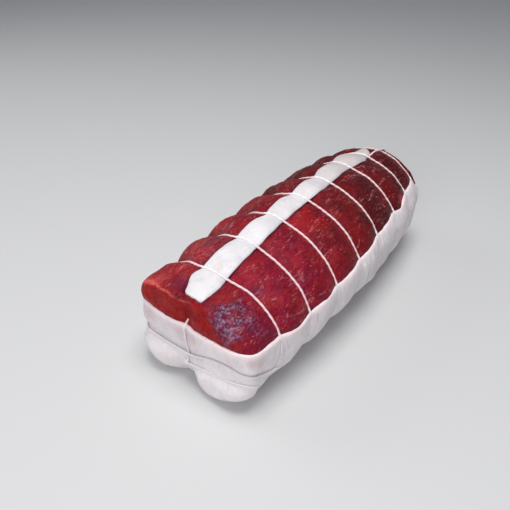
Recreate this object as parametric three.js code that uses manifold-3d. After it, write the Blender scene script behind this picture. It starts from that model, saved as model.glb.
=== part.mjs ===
// A raw beef roasting joint, tied for the oven: a long loaf of lean meat in a tray-shaped
// wrap of back fat, with a strip of fat along its crest. Eight girth strings hold it, with
// a lengthwise string round its two ends and three short strings across them.
// Millimetres, +Z up. The joint lies along Y, and its front cut face looks along -Y.
import * as THREE from "three";
import { mergeVertices } from "three/addons/utils/BufferGeometryUtils.js";
import Module from "manifold-3d";

const wasm = await Module();
wasm.setup();

// ---- driving dimensions ----
const HOOP_PLACES = [-105, -74, -45, -16, 13.7, 47, 76, 104.3]; // girth strings at the crest
const HOOP_TILTS = [-0.008, -0.018, -0.02, 0.006, 0.013, -0.009, 0.028, -0.02]; // y gained per x
const LEFT_BENDS = { shifts: [10, 12, 13, 17, 9, 13, 10, 0], from: -6, to: -50 }; // y gained on the left
const RIGHT_BENDS = { shifts: [4, 0.5, 1, 1, 0.8, 1.8, 1.6, 0], from: 4, to: 26 }; // and on the right
const FRONT_FACE = -129.3;
const BACK_FACE = 116;
const WIDTH = { front: 89, middle: 108.5, back: 79 };
const CREST = { front: 72, middle: 89, back: 78 }; // top line of the lean meat
const RIM = { front: 51.5, back: 65, from: -104, to: 80, tuck: 7 }; // upper edge of the fat wrap
const RIM_SAGS = [
  { y: -89, depth: 2.6, width: 12 },
  { y: 57, depth: 3, width: 9 },
];
const BELLY = 47.5; // height at which a cross-section is widest
const SINK = 2.2; // how far the table presses the round underside flat
const CROWN_POWER = 1.8; // superellipse exponent above the belly
const CORNER = { power: 2.6, from: 15, to: 40 }; // squarer top left corner near the front face
const BASE_POWER = { front: 2.9, middle: 2.14, back: 2.9 }; // below the belly
const EDGE_POWER = 2; // superellipse exponent of the rounded edges of both faces
const SQUARE_CORNER = { low: 0.2, high: 0.9, right: 0.6, left: -0.4 }; // sines, cosines round the edge
const FRONT_EDGE = { depth: 11, right: 15, left: 9, top: 5, bottom: 11.5, topLeftPower: 5.5 };
const BACK_EDGE = { depth: 10.5, right: 18, left: 15, top: 17, bottom: 10, topLeftPower: EDGE_POWER };
const FACE_DOME = 0.8;
const FAT = { body: 4.8, ends: 2.7, from: 4, to: 20 }; // thickness of the wrap, growing from its ends
const STRIP = { front: -126, back: 87, halfWidth: 7.2, flare: 3.4, swell: 0.9, thickness: 4.4, bed: 2.4 };
const STRIP_DRIFT = { front: 0.4, back: -3.2, from: 0, to: 50 }; // sideways place of its middle
const STRIP_HEAD = { taper: 0.36, taperLength: 18, slant: 2.4, slantLength: 14 };
const STRIP_TAIL = { from: 66, narrowing: 0.5, drift: 1.6, slant: -0.8 }; // narrow and cut aslant
const STRING_RADIUS = 0.75;
const CLEARANCE = 0.45; // between solids that touch
const MEAT_GAP = 0.7; // between the lean meat and the fat wrap

// ---- how the strings bite ----
const PINCH = { meat: 4.2, fat: 2.2, underside: 4.3 };
const PINCH_LEFT = { depth: 2.2, from: -40, to: -8, balance: 0.12 }; // deeper on the left flank
const PINCH_POWER = 0.9; // below 1 the swelling meets each string in a cusp
const PINCH_BALANCE = { meat: 0.45, fat: 0.25 }; // share that stands out of the plain loaf
const CREST_EASE = 0.5; // share of the pinch that the crest is spared
const RIM_EASE = 16; // over this height above the rim the meat's swell grows from the fat's
const END_SWELL = { front: 0, back: 0.2, length: 8, from: -20, to: 10 }; // shares, past the end strings
const OUTER_SPAN = 30; // the skin beyond an end string swells as if the next one were this far
const FIRST_HOOP_SLACK = { share: 0.7, reach: 14, low: 2, high: 16, fade: 10 };
const FRONT_BELT = { left: 28, middle: 27, corner: 33.5, right: 27, depth: 3.4, width: 7 }; // heights
const LOW_BELT = { left: 20, middle: 20.5, corner: 26.3, right: 12, depth: 1.6, width: 5, from: -2, to: 8 };
const BACK_BELT = { left: 34, middle: 34, corner: 34, right: 34, depth: 1.8, width: 8 };
const BELT_BEARINGS = { left: -1.2, middle: -0.2, corner: 0.9, right: Math.PI / 2 }; // from straight along

// ---- other relief ----
const END_ZONE = { from: 10, to: 28 }; // from a face, where its relief fades out
const CLEFT = { x: -3, meat: 4.5, fat: 1.6, width: 5, reach: 14, crest: 0.2, fade: 12, low: -1, high: 8 };
const CLEFT_BOW = { x: -3.4, height: 31, width: 9 };
const NOTCH = { x: -4.5, depth: 6, leftWidth: 15, rightWidth: 7.5, bottom: 6, top: 24, reach: 15 };
const LOBES = { left: 5.2, right: 3.2, bottom: 18, top: 32, spacing: 14, blend: 12 };
const UNDERCUT = { left: 3, right: 1.2, side: 3.2, from: 14, to: 34 };
const LEFT_TUCK = { depth: 2, z: 48, width: 7, from: -38, to: -20 }; // at the rim's front left corner
const LEFT_DROP = { depth: 2.2, from: -62, full: -34, ease: 20, to: 80 }; // flatter left shoulder
const FOLD = { y: 13, z: 27, depth: 2.6, reach: 7, width: 9 }; // a bulge of fat on the right
const KEEL = { depth: 4.9, endDepth: 3.1, reach: 14, width: 4.5, straight: 60 };
const KNOT = { height: 20, radius: 2, proud: 1.4, depth: 0.75, tall: 1.15, sides: 8, rings: 6 };

// ---- mesh steps ----
const EXPOSED_COLUMNS = 22;
const WRAPPED_COLUMNS = 20;
const KEEL_CROWDING = 1.5; // over 1 draws the wrap's columns towards the keel
const STATIONS = [0.2, 0.5, 0.8]; // shares of the way from one girth string to the next
const FRONT_SHOULDER = 5; // from the first girth string to the ring before it
const FRONT_SHARES = [0.22, 0.44, 0.65, 0.84];
const BACK_SHARES = [0.75, 0.4];
const EDGE_STEPS = 4;
const STRIP_SIDES = 10;
const STRIP_ROUNDING = { front: 4, back: 2, blunt: 0.8, thinning: 0.2 };
const STRIP_START = [0, 1.5, 4, 10]; // places of its first loops
const STRIP_LAST_STEP = 2; // least distance between its last two loops
const STRING_SIDES = 5;
const HOOP_BEND = 0.1; // radians between the corners of a taut string
const BELT_BEND = 0.03;
const HALVINGS = 24; // of the range of directions that is searched for the rim
const STEEPEST_RIM = 1.4;
const CREST_ROUNDS = 4; // of closing in on the place where a bent ring crosses the crest

const firstHoop = HOOP_PLACES[0];
const lastHoop = HOOP_PLACES[HOOP_PLACES.length - 1];

const material = (color, roughness) => new THREE.MeshStandardMaterial({ color, roughness, metalness: 0 });
const MATERIALS = {
  meat: material(0x7a1a20, 0.4),
  fat: material(0xe4dcd9, 0.5),
  string: material(0xf2ebe4, 0.85),
};

// ---- small helpers ----
const mix = (a, b, t) => a + (b - a) * t;
const bell = (distance, width) => Math.exp(-((distance / width) ** 2));
function ramp(from, to, v) {
  const t = Math.min(1, Math.max(0, (v - from) / (to - from)));
  return t * t * (3 - 2 * t);
}

// A size that passes through its front, middle and back values on one parabola.
function along(size, y) {
  const t = (2 * (y - FRONT_FACE)) / (BACK_FACE - FRONT_FACE) - 1;
  const bend = (size.front + size.back) / 2 - size.middle;
  return size.middle + ((size.back - size.front) / 2) * t + bend * t * t;
}
const rimSag = (y) => RIM_SAGS.reduce((sum, sag) => sum + sag.depth * bell(y - sag.y, sag.width), 0);
const rimHeight = (y) =>
  mix(RIM.front, RIM.back, ramp(RIM.from, RIM.to, y)) - rimSag(y) - RIM.tuck * ramp(lastHoop, BACK_FACE, y);

// How far a ring that crosses the crest at u lies back at x. It fades to 0 at the rounded edges.
const HOOP_MARKS = [FRONT_FACE + FRONT_EDGE.depth, ...HOOP_PLACES, BACK_FACE - BACK_EDGE.depth];
function atHoops(values, u) {
  const padded = [0, ...values, 0];
  const next = HOOP_MARKS.findIndex((mark) => mark > u);
  if (next < 1) return 0;
  const before = HOOP_MARKS[next - 1];
  return mix(padded[next - 1], padded[next], (u - before) / (HOOP_MARKS[next] - before));
}
function hoopShift(x, u) {
  const bent = ({ shifts, from, to }) => atHoops(shifts, u) * ramp(from, to, x);
  return atHoops(HOOP_TILTS, u) * x + bent(LEFT_BENDS) + bent(RIGHT_BENDS);
}

// Where the ring through x, y crosses the crest.
function crestPlace(x, y) {
  let u = y;
  for (let i = 0; i < CREST_ROUNDS; i++) u = y - hoopShift(x, u);
  return u;
}

// ---- the plain loaf ----
const crownPower = (y, x) =>
  x < 0 ? mix(CORNER.power, CROWN_POWER, ramp(CORNER.from, CORNER.to, y - FRONT_FACE)) : CROWN_POWER;

// A point of the cross-section at y in the direction turn (0 is +x, a quarter turn is up),
// with its outward normal. Both halves are superellipses about the belly.
function section(y, turn) {
  const c = Math.cos(turn);
  const s = Math.sin(turn);
  const halfWidth = along(WIDTH, y) / 2;
  const reach = s >= 0 ? along(CREST, y) - BELLY : BELLY + SINK;
  const power = s >= 0 ? crownPower(y, c) : along(BASE_POWER, y);
  const r = (Math.abs(c / halfWidth) ** power + Math.abs(s / reach) ** power) ** (-1 / power);
  const nx = (Math.sign(c) * Math.abs((r * c) / halfWidth) ** (power - 1)) / halfWidth;
  const nz = (Math.sign(s) * Math.abs((r * s) / reach) ** (power - 1)) / reach;
  const size = Math.hypot(nx, nz);
  return { x: r * c, z: BELLY + r * s, nx: nx / size, nz: nz / size };
}

// The direction in which the upper half of the cross-section at y stands over x.
function turnOver(y, x) {
  const power = crownPower(y, x);
  const height = Math.max(0, 1 - Math.abs((2 * x) / along(WIDTH, y)) ** power) ** (1 / power);
  return Math.atan2((along(CREST, y) - BELLY) * height, x);
}

// How far an end's rounded edge draws in from the cross-section, in the direction turn.
function edgeInset(edge, turn) {
  const c = Math.cos(turn);
  const s = Math.sin(turn);
  return (c > 0 ? edge.right : edge.left) * c * c + (s > 0 ? edge.top : edge.bottom) * s * s;
}
// The exponent of that edge's profile, which is squarest at the top left corner.
function edgePower(edge, turn) {
  const { low, high, right, left } = SQUARE_CORNER;
  const corner = ramp(low, high, Math.sin(turn)) * ramp(right, left, Math.cos(turn));
  return mix(EDGE_POWER, edge.topLeftPower, corner);
}

// The rings of the loaf, from near the centre of its front face to near that of its back face.
const ENDS = {
  front: {
    face: FRONT_FACE,
    side: -1,
    edge: FRONT_EDGE,
    middle: CLEFT.x,
    hoop: firstHoop,
    belt: FRONT_BELT,
    lobed: 1,
  },
  back: {
    face: BACK_FACE,
    side: 1,
    edge: BACK_EDGE,
    middle: 0,
    hoop: lastHoop,
    belt: BACK_BELT,
    lobed: 0,
  },
};
function ringList() {
  const edgeRing = (end, step) => ({ end, lean: ((step / EDGE_STEPS) * Math.PI) / 2, share: 1 });
  const edgeRings = (end) => Array.from({ length: EDGE_STEPS + 1 }, (_, step) => edgeRing(end, step));
  const faceRing = (end) => (share) => ({ end, lean: 0, share });
  const body = [{ y: firstHoop - FRONT_SHOULDER, share: 1 }];
  HOOP_PLACES.forEach((y, i) => {
    body.push({ y, hoop: i, share: 1 });
    if (y === lastHoop) return;
    for (const station of STATIONS) body.push({ y: mix(y, HOOP_PLACES[i + 1], station), share: 1 });
  });
  return [
    ...FRONT_SHARES.map(faceRing(ENDS.front)),
    ...edgeRings(ENDS.front),
    ...body,
    ...edgeRings(ENDS.back).reverse(),
    ...BACK_SHARES.map(faceRing(ENDS.back)),
  ];
}
const rings = ringList();

// Where a ring meets the direction turn on the plain loaf: the point and its outward normal.
function plainPoint(ring, turn) {
  if (!ring.end) {
    const p = section(ring.y, turn);
    return { x: p.x, y: ring.y + hoopShift(p.x, ring.y), z: p.z, nx: p.nx, ny: 0, nz: p.nz };
  }
  const { face, side, edge, middle } = ring.end;
  const p = section(face - side * edge.depth, turn);
  const inset = edgeInset(edge, turn);
  const power = edgePower(edge, turn);
  const sine = Math.abs(Math.sin(ring.lean));
  const cosine = Math.abs(Math.cos(ring.lean));
  const drawn = inset * (1 - sine ** (2 / power));
  const out = sine ** (2 - 2 / power) / inset;
  const forward = cosine ** (2 - 2 / power) / edge.depth;
  const size = Math.hypot(out, forward);
  const dome = FACE_DOME * (1 - ring.share ** 2);
  return {
    x: mix(middle, p.x - p.nx * drawn, ring.share),
    y: face - side * (edge.depth * (1 - cosine ** (2 / power)) - dome),
    z: mix(rimHeight(face), p.z - p.nz * drawn, ring.share),
    nx: (p.nx * out) / size,
    ny: (side * forward) / size,
    nz: (p.nz * out) / size,
  };
}
const facePole = ({ face, side, middle }, lift = 0) => ({
  x: middle,
  y: face + side * FACE_DOME,
  z: rimHeight(face) + lift,
  nx: 0,
  ny: side,
  nz: 0,
});

// ---- relief: how far the skin stands out of the plain loaf ----
// The girth strings draw the skin in, and it swells between them.
function pinch(u) {
  const next = HOOP_PLACES.findIndex((place) => place > u);
  const from = next > 0 ? HOOP_PLACES[next - 1] : next === 0 ? firstHoop : lastHoop;
  const span = next > 0 ? HOOP_PLACES[next] - from : OUTER_SPAN;
  const share = Math.min(Math.abs(u - from) / span, next > 0 ? 1 : 0.5);
  return 1 - Math.max(0, Math.sin(share * Math.PI)) ** PINCH_POWER;
}

// A belt string's height on its way round an end: from the left side, over the middle of the
// face and its right corner, to the right side.
function beltHeight(belt, hoop, x, y) {
  const { left, middle, corner, right } = BELT_BEARINGS;
  const bearing = Math.atan2(x, Math.max(Math.abs(y - hoop), CLEARANCE));
  const start = mix(belt.left, belt.middle, ramp(left, middle, bearing));
  const rise = (belt.corner - belt.middle) * ramp(middle, corner, bearing);
  const fall = (belt.right - belt.corner) * ramp(corner, right, bearing);
  return start + rise + fall;
}

// The lengthwise string's sideways place at the front, where it bends towards the notch.
const keelPlace = (y) => NOTCH.x * (1 - ramp(0, KEEL.straight, y - FRONT_FACE));
function cleftPlace(z) {
  const foot = RIM.front;
  const bow = CLEFT_BOW.x * bell(z - CLEFT_BOW.height, CLEFT_BOW.width);
  if (z < foot) return mix(NOTCH.x, CLEFT.x, z / foot) + bow;
  return CLEFT.x * Math.max(0, 1 - (z - foot) / (CREST.front - foot));
}

function endRelief(p, { face, hoop, belt, lobed }) {
  const near = 1 - ramp(END_ZONE.from, END_ZONE.to, Math.abs(p.y - face));
  const low = 1 - ramp(LOBES.bottom, LOBES.top, p.z);
  const meaty = ramp(CLEFT.low, CLEFT.high, p.z - rimHeight(face));
  const shallow = mix(1, CLEFT.crest, ramp(CREST.front - CLEFT.fade, CREST.front, p.z));
  const cleft = mix(CLEFT.fat, CLEFT.meat, meaty) * shallow * (1 - low) * bell(p.y - face, CLEFT.reach);
  const groove = belt.depth * bell(p.z - beltHeight(belt, hoop, p.x, p.y), belt.width);
  const bulge = mix(LOBES.left, LOBES.right, ramp(-LOBES.blend, LOBES.blend, p.x));
  const lobe = lobed * bulge * low * (1 - bell(p.x - NOTCH.x, LOBES.spacing));
  const middle = face === FRONT_FACE ? cleftPlace(p.z) : 0;
  return near * (lobe - groove) - cleft * bell(p.x - middle, CLEFT.width);
}

// How far the notch and the undercut of the two lobes draw in the front's lower edge.
function frontCut(p, down, nearFront) {
  const low = 1 - ramp(NOTCH.bottom, NOTCH.top, p.z);
  const width = p.x < NOTCH.x ? NOTCH.leftWidth : NOTCH.rightWidth;
  const notch = NOTCH.depth * low * bell(p.y - FRONT_FACE, NOTCH.reach) * bell(p.x - NOTCH.x, width);
  const under = mix(UNDERCUT.left, UNDERCUT.right, ramp(-LOBES.blend, LOBES.blend, p.x));
  const side = UNDERCUT.side * Math.max(0, p.nx) * nearFront;
  const tuck = LEFT_TUCK.depth * bell(p.z - LEFT_TUCK.z, LEFT_TUCK.width) * nearFront;
  const onLeft = 1 - ramp(LEFT_TUCK.from, LEFT_TUCK.to, p.x);
  return notch + down * (under * Math.max(0, -p.ny) + side) + tuck * onLeft;
}

// How deep the strings bite into the lean meat, the share of it that swells out, and how far
// the left shoulder drops.
function meatBite(p, up) {
  const above = ramp(0, RIM_EASE, p.z - rimHeight(p.y));
  const onLeft = 1 - ramp(PINCH_LEFT.from, PINCH_LEFT.to, p.x);
  const depth = PINCH.meat * (1 - CREST_EASE * up ** 3) + PINCH_LEFT.depth * onLeft;
  const balance = mix(PINCH_BALANCE.fat, PINCH_BALANCE.meat - PINCH_LEFT.balance * onLeft, above);
  const before = ramp(0, END_SWELL.length, firstHoop - p.y) * (1 - ramp(END_SWELL.from, END_SWELL.to, p.x));
  const beyond = ramp(0, END_SWELL.length, p.y - lastHoop);
  const rise = ramp(LEFT_DROP.from, LEFT_DROP.full, p.y);
  const drop = LEFT_DROP.depth * onLeft * above * rise * (1 - ramp(LEFT_DROP.ease, LEFT_DROP.to, p.y));
  return {
    depth: mix(PINCH.fat, depth, above),
    balance: balance * mix(1, END_SWELL.front, before) * mix(1, END_SWELL.back, beyond),
    drop,
  };
}

// The share of its pinch that the first girth string spares the wrap's sides.
function firstHoopSlack({ y, z }) {
  const { share, reach, low, high, fade } = FIRST_HOOP_SLACK;
  return share * bell(y - firstHoop, reach) * ramp(low, high, z) * (1 - ramp(BELLY - fade, BELLY, z));
}

function relief(p, skin) {
  const down = Math.max(0, -p.nz);
  const up = Math.max(0, p.nz);
  const across = 1 - p.ny * p.ny;
  const fatBite = { depth: PINCH.fat, balance: PINCH_BALANCE.fat, drop: 0 };
  const { depth, balance, drop } = skin === "meat" ? meatBite(p, up) : fatBite;
  const pressed = down * down;
  const swell = mix(balance, 0, pressed) - pinch(crestPlace(p.x, p.y)) * (1 - firstHoopSlack(p));
  const fromEnd = Math.min(p.y - FRONT_FACE, BACK_FACE - p.y);
  const keelDepth = mix(KEEL.depth, KEEL.endDepth, bell(fromEnd, KEEL.reach));
  const keel = keelDepth * down ** 4 * bell(p.x - keelPlace(p.y), KEEL.width);
  const nearFront = 1 - ramp(UNDERCUT.from, UNDERCUT.to, p.y - FRONT_FACE);
  const lowBelt = LOW_BELT.depth * bell(p.z - beltHeight(LOW_BELT, firstHoop, p.x, p.y), LOW_BELT.width);
  const zone = ramp(0, LOW_BELT.to, p.x) * (1 - ramp(END_ZONE.from, END_ZONE.to, p.y - FRONT_FACE));
  const fold = p.x > 0 ? FOLD.depth * bell(p.y - FOLD.y, FOLD.reach) * bell(p.z - FOLD.z, FOLD.width) : 0;
  return (
    across * mix(depth, PINCH.underside, pressed) * swell +
    endRelief(p, ENDS.front) +
    endRelief(p, ENDS.back) +
    fold -
    drop -
    frontCut(p, down, nearFront) -
    keel -
    lowBelt * zone
  );
}

// A point of the skin, pressed flat where it meets the table, and taken inwards by a depth.
function skinPoint(p, skin, depth = 0) {
  const out = relief(p, skin);
  const flat = Math.max(0, p.z + p.nz * out);
  return new THREE.Vector3(p.x + p.nx * (out - depth), p.y + p.ny * (out - depth), flat - p.nz * depth);
}

// ---- the directions of a ring's columns ----
// The direction in which a ring passes the rim's height, on the right or the left side.
function rimTurn(ring, side, lift = 0) {
  const height = rimHeight(ring.end ? ring.end.face : ring.y) + lift;
  let [low, high] = [0, STEEPEST_RIM];
  for (let i = 0; i < HALVINGS; i++) {
    const turn = (low + high) / 2;
    if (plainPoint(ring, side > 0 ? turn : Math.PI - turn).z < height) low = turn;
    else high = turn;
  }
  return side > 0 ? low : Math.PI - low;
}
function exposedTurns(ring) {
  const right = rimTurn(ring, 1, MEAT_GAP);
  const left = rimTurn(ring, -1, MEAT_GAP);
  return Array.from({ length: EXPOSED_COLUMNS + 1 }, (_, i) => {
    const u = (2 * i) / EXPOSED_COLUMNS - 1;
    return Math.PI / 2 + Math.abs(u) * ((u < 0 ? right : left) - Math.PI / 2);
  });
}
function wrappedTurns(ring, lift = 0) {
  const keel = 1.5 * Math.PI + Math.atan(keelPlace(ring.end ? ring.end.face : ring.y) / BELLY);
  return Array.from({ length: WRAPPED_COLUMNS + 1 }, (_, i) => {
    const u = (2 * i) / WRAPPED_COLUMNS - 1;
    const side = u < 0 ? -1 : 1;
    const rim = rimTurn(ring, side, Math.abs(u) === 1 ? lift : 0) + (side > 0 ? 2 * Math.PI : 0);
    return keel + Math.abs(u) ** KEEL_CROWDING * (rim - keel);
  });
}

// ---- solids ----
function toGeometry(points, faces) {
  const geometry = new THREE.BufferGeometry().setFromPoints(points);
  geometry.setIndex(faces);
  geometry.computeVertexNormals();
  return geometry;
}

function fatThickness(y) {
  const fromEnd = Math.min(y - FRONT_FACE, BACK_FACE - y);
  return mix(FAT.ends, FAT.body, ramp(FAT.from, FAT.to, fromEnd));
}

// Adds a sheet of skin through all rings, with its front and back poles, and returns its edges.
// The sheet of the fat's inside lies below the skin by the fat's thickness and a gap.
function addSheet(body, turnsOf, skin, { inside = false, gap = 0, lift = 0, flipped = false } = {}) {
  const { points, faces } = body;
  const add = (p) => points.push(skinPoint(p, skin, inside ? fatThickness(p.y) + gap : 0)) - 1;
  const triangle = (a, b, c) => faces.push(a, ...(flipped ? [c, b] : [b, c]));
  const front = add(facePole(ENDS.front, lift));
  const rows = rings.map((ring) => turnsOf(ring).map((turn) => add(plainPoint(ring, turn))));
  const back = add(facePole(ENDS.back, lift));
  const lastRow = rows.at(-1);
  for (let k = 0; k + 1 < lastRow.length; k++) {
    triangle(front, rows[0][k], rows[0][k + 1]);
    for (let j = 0; j + 1 < rows.length; j++) {
      triangle(rows[j][k], rows[j + 1][k], rows[j][k + 1]);
      triangle(rows[j][k + 1], rows[j + 1][k], rows[j + 1][k + 1]);
    }
    triangle(back, lastRow[k + 1], lastRow[k]);
  }
  return { front, back, first: rows.map((row) => row[0]), last: rows.map((row) => row.at(-1)) };
}
const edgeLoop = ({ front, back }, there, homeward) => [front, ...there, back, ...homeward.toReversed()];

function bridge(faces, a, b) {
  a.forEach((_, i) => {
    const j = (i + 1) % a.length;
    faces.push(a[j], a[i], b[i], a[j], b[i], b[j]);
  });
}

// A closed body through loops of equally many points: fanned shut at both ends, or a ring.
function loft(loops, isRing = false) {
  const count = loops[0].length;
  const points = loops.flat();
  const faces = [];
  const steps = isRing ? loops.length : loops.length - 1;
  for (let j = 0; j < steps; j++)
    for (let k = 0; k < count; k++) {
      const next = ((j + 1) % loops.length) * count;
      const a = j * count + k;
      const b = j * count + ((k + 1) % count);
      faces.push(a, next + k, b, b, next + k, next + ((k + 1) % count));
    }
  for (const j of isRing ? [] : [0, loops.length - 1]) {
    const middle = loops[j].reduce((sum, p) => sum.add(p), new THREE.Vector3()).divideScalar(count);
    const hub = points.push(middle) - 1;
    for (let k = 0; k < count; k++) {
      const a = j * count + k;
      const b = j * count + ((k + 1) % count);
      faces.push(hub, ...(j ? [b, a] : [a, b]));
    }
  }
  return toGeometry(points, faces);
}

function toSolid(geometry) {
  const bare = geometry.clone();
  bare.deleteAttribute("normal");
  bare.deleteAttribute("uv");
  const merged = mergeVertices(bare, 1e-4);
  const vertProperties = new Float32Array(merged.attributes.position.array);
  const triVerts = new Uint32Array(merged.index.array);
  return new wasm.Manifold(new wasm.Mesh({ numProp: 3, vertProperties, triVerts }));
}
function fromSolid(solid) {
  const { vertProperties, numProp, triVerts } = solid.getMesh();
  const points = Array.from({ length: vertProperties.length / numProp }, (_, i) =>
    new THREE.Vector3().fromArray(vertProperties, i * numProp),
  );
  return toGeometry(points, Array.from(triVerts));
}

// ---- lean meat and fat wrap ----
function loafGeometry() {
  const body = { points: [], faces: [] };
  const open = addSheet(body, exposedTurns, "meat", { lift: MEAT_GAP });
  const coveredTurns = (ring) => wrappedTurns(ring, MEAT_GAP);
  const covered = addSheet(body, coveredTurns, "fat", { inside: true, gap: MEAT_GAP, lift: MEAT_GAP });
  const upperRim = edgeLoop(open, open.first, open.last);
  bridge(body.faces, upperRim, edgeLoop(covered, covered.last, covered.first));
  return toGeometry(body.points, body.faces);
}
function wrapGeometry() {
  const body = { points: [], faces: [] };
  const outside = addSheet(body, wrappedTurns, "fat");
  const inside = addSheet(body, wrappedTurns, "fat", { inside: true, flipped: true });
  const outerRim = edgeLoop(outside, outside.first, outside.last);
  bridge(body.faces, outerRim, edgeLoop(inside, inside.first, inside.last));
  return toGeometry(body.points, body.faces);
}

// ---- fat strip along the crest ----
const stripTail = (y) => ramp(STRIP_TAIL.from, STRIP.back, y);
const stripSlant = (y) => STRIP_TAIL.slant * stripTail(y);
function stripMiddle(y) {
  const { front, back, from, to } = STRIP_DRIFT;
  const head = STRIP_HEAD.slant * (1 - ramp(0, STRIP_HEAD.slantLength, y - STRIP.front));
  return mix(front, back, ramp(from, to, y)) + STRIP_TAIL.drift * stripTail(y) + head;
}
function stripHalfWidth(y) {
  const t = (2 * (y - STRIP.front)) / (STRIP.back - STRIP.front) - 1;
  const head = 1 - STRIP_HEAD.taper * (1 - ramp(0, STRIP_HEAD.taperLength, y - STRIP.front));
  const tail = 1 - STRIP_TAIL.narrowing * stripTail(y);
  return (STRIP.halfWidth + STRIP.flare * t * t + STRIP.swell * (1 - pinch(y))) * head * tail;
}
function stripLoop(y, growth) {
  const fromEnd = Math.max(0, Math.min(y - STRIP.front, STRIP.back - y));
  const length = y < 0 ? STRIP_ROUNDING.front : STRIP_ROUNDING.back;
  const round = Math.sqrt(1 - (1 - Math.min(1, (fromEnd + STRIP_ROUNDING.blunt) / length)) ** 2);
  const halfWidth = stripHalfWidth(y) * round + growth;
  const halfThickness = (STRIP.thickness / 2) * (1 - STRIP_ROUNDING.thinning * pinch(y)) + growth;
  const middle = stripMiddle(y);
  return Array.from({ length: STRIP_SIDES }, (_, i) => {
    const angle = (2 * Math.PI * i) / STRIP_SIDES;
    const x = middle + halfWidth * Math.cos(angle);
    const place = y + stripSlant(y) * (x - middle);
    const p = plainPoint({ y: place }, turnOver(place, x));
    const lift = STRIP.thickness / 2 - STRIP.bed + halfThickness * Math.sin(angle);
    const out = relief({ ...p, x: middle }, "meat") + lift;
    return new THREE.Vector3(p.x + p.nx * out, place, p.z + p.nz * out);
  });
}
function stripGeometry(growth = 0) {
  const isInner = (ring) => !ring.end && ring.y < STRIP.back - STRIP_LAST_STEP;
  const inner = rings.filter(isInner).map((ring) => ring.y);
  const places = [...STRIP_START.map((step) => STRIP.front + step), ...inner, STRIP.back];
  places[0] -= growth;
  places[places.length - 1] += growth;
  return loft(places.map((y) => stripLoop(y, growth)));
}

// ---- strings ----
// A tube through path points, each with the outward direction at it.
function stringGeometry(path, isRing = false) {
  const loops = path.map(({ at, out }, i) => {
    const before = path[i > 0 ? i - 1 : isRing ? path.length - 1 : 0].at;
    const after = path[i + 1 < path.length ? i + 1 : isRing ? 0 : i].at;
    const forward = after.clone().sub(before).normalize();
    const side = out.clone().addScaledVector(forward, -out.dot(forward)).normalize();
    const across = side.clone().cross(forward);
    return Array.from({ length: STRING_SIDES }, (_, k) => {
      const angle = (2 * Math.PI * k) / STRING_SIDES;
      return at
        .clone()
        .addScaledVector(side, STRING_RADIUS * Math.cos(angle))
        .addScaledVector(across, STRING_RADIUS * Math.sin(angle));
    });
  });
  return loft(loops, isRing);
}

// The taut outline round flat points [u, v], counter-clockwise.
function tautOutline(points) {
  const sorted = points.toSorted((a, b) => a[0] - b[0] || a[1] - b[1]);
  const half = (list) => {
    const chain = [];
    for (const p of list) {
      while (chain.length > 1) {
        const [a, b] = chain.slice(-2);
        if ((b[0] - a[0]) * (p[1] - a[1]) - (b[1] - a[1]) * (p[0] - a[0]) > 0) break;
        chain.pop();
      }
      chain.push(p);
    }
    return chain.slice(0, -1);
  };
  return [...half(sorted), ...half(sorted.toReversed())];
}

// Moves each corner of a taut outline outwards, and drops corners that hardly bend it.
function looseOutline(outline, distance, leastBend) {
  const heading = (a, b) => Math.atan2(b[1] - a[1], b[0] - a[0]);
  const corners = [];
  let owed = leastBend;
  outline.forEach((p, i) => {
    const before = heading(outline.at(i - 1), p);
    const after = heading(p, outline[(i + 1) % outline.length]);
    const bend = (after - before + 3 * Math.PI) % (2 * Math.PI) - Math.PI;
    owed += bend;
    if (owed < leastBend) return;
    owed = 0;
    const normal = before + bend / 2 - Math.PI / 2;
    const reach = distance / Math.cos(bend / 2);
    corners.push({ at: [p[0] + reach * Math.cos(normal), p[1] + reach * Math.sin(normal)], normal });
  });
  return corners;
}

// Lays flat corners out in space, with more corners where the string would leave the straight
// line between two of them.
const LAY_TOLERANCE = 0.15;
function laidPath(corners, lay, isRing = false) {
  const path = [];
  const extend = (a, b) => {
    const turn = ((b.normal - a.normal + 3 * Math.PI) % (2 * Math.PI)) - Math.PI;
    const middle = { at: a.at.map((value, k) => (value + b.at[k]) / 2), normal: a.normal + turn / 2 };
    const straight = lay(a).at.lerp(lay(b).at, 0.5);
    if (straight.distanceTo(lay(middle).at) > LAY_TOLERANCE) {
      extend(a, middle);
      extend(middle, b);
    } else path.push(lay(a));
  };
  corners.slice(1).forEach((corner, i) => extend(corners[i], corner));
  if (isRing) extend(corners.at(-1), corners[0]);
  else path.push(lay(corners.at(-1)));
  return path;
}

// From the skin to the middle of a string. The more freely it runs, the more room it gets.
const HOOP_LIE = STRING_RADIUS + CLEARANCE + 0.2;
const CLEFT_LIE = STRING_RADIUS + CLEARANCE + 0.35;
const BELT_LIE = STRING_RADIUS + CLEARANCE + 0.45;
const TABLE_LIE = STRING_RADIUS + 0.1; // from the table to the middle of the string above it

const STRIP_FEEL = [-1.5, 0, 1.5]; // the strip is felt this far before and behind a girth string
function hoopGeometry(index) {
  const ring = rings.find((candidate) => candidate.hoop === index);
  const touched = [
    ...exposedTurns(ring).map((turn) => skinPoint(plainPoint(ring, turn), "meat")),
    ...wrappedTurns(ring).map((turn) => skinPoint(plainPoint(ring, turn), "fat")),
    ...(ring.y < STRIP.back ? STRIP_FEEL.flatMap((step) => stripLoop(ring.y + step, 0)) : []),
  ];
  const outline = tautOutline(touched.map((p) => [p.x, p.z]));
  const lay = ({ at: [x, z], normal }) => ({
    at: new THREE.Vector3(x, ring.y + hoopShift(x, ring.y), z),
    out: new THREE.Vector3(Math.cos(normal), 0, Math.sin(normal)),
  });
  return stringGeometry(laidPath(looseOutline(outline, HOOP_LIE, HOOP_BEND), lay, true), true);
}

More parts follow.
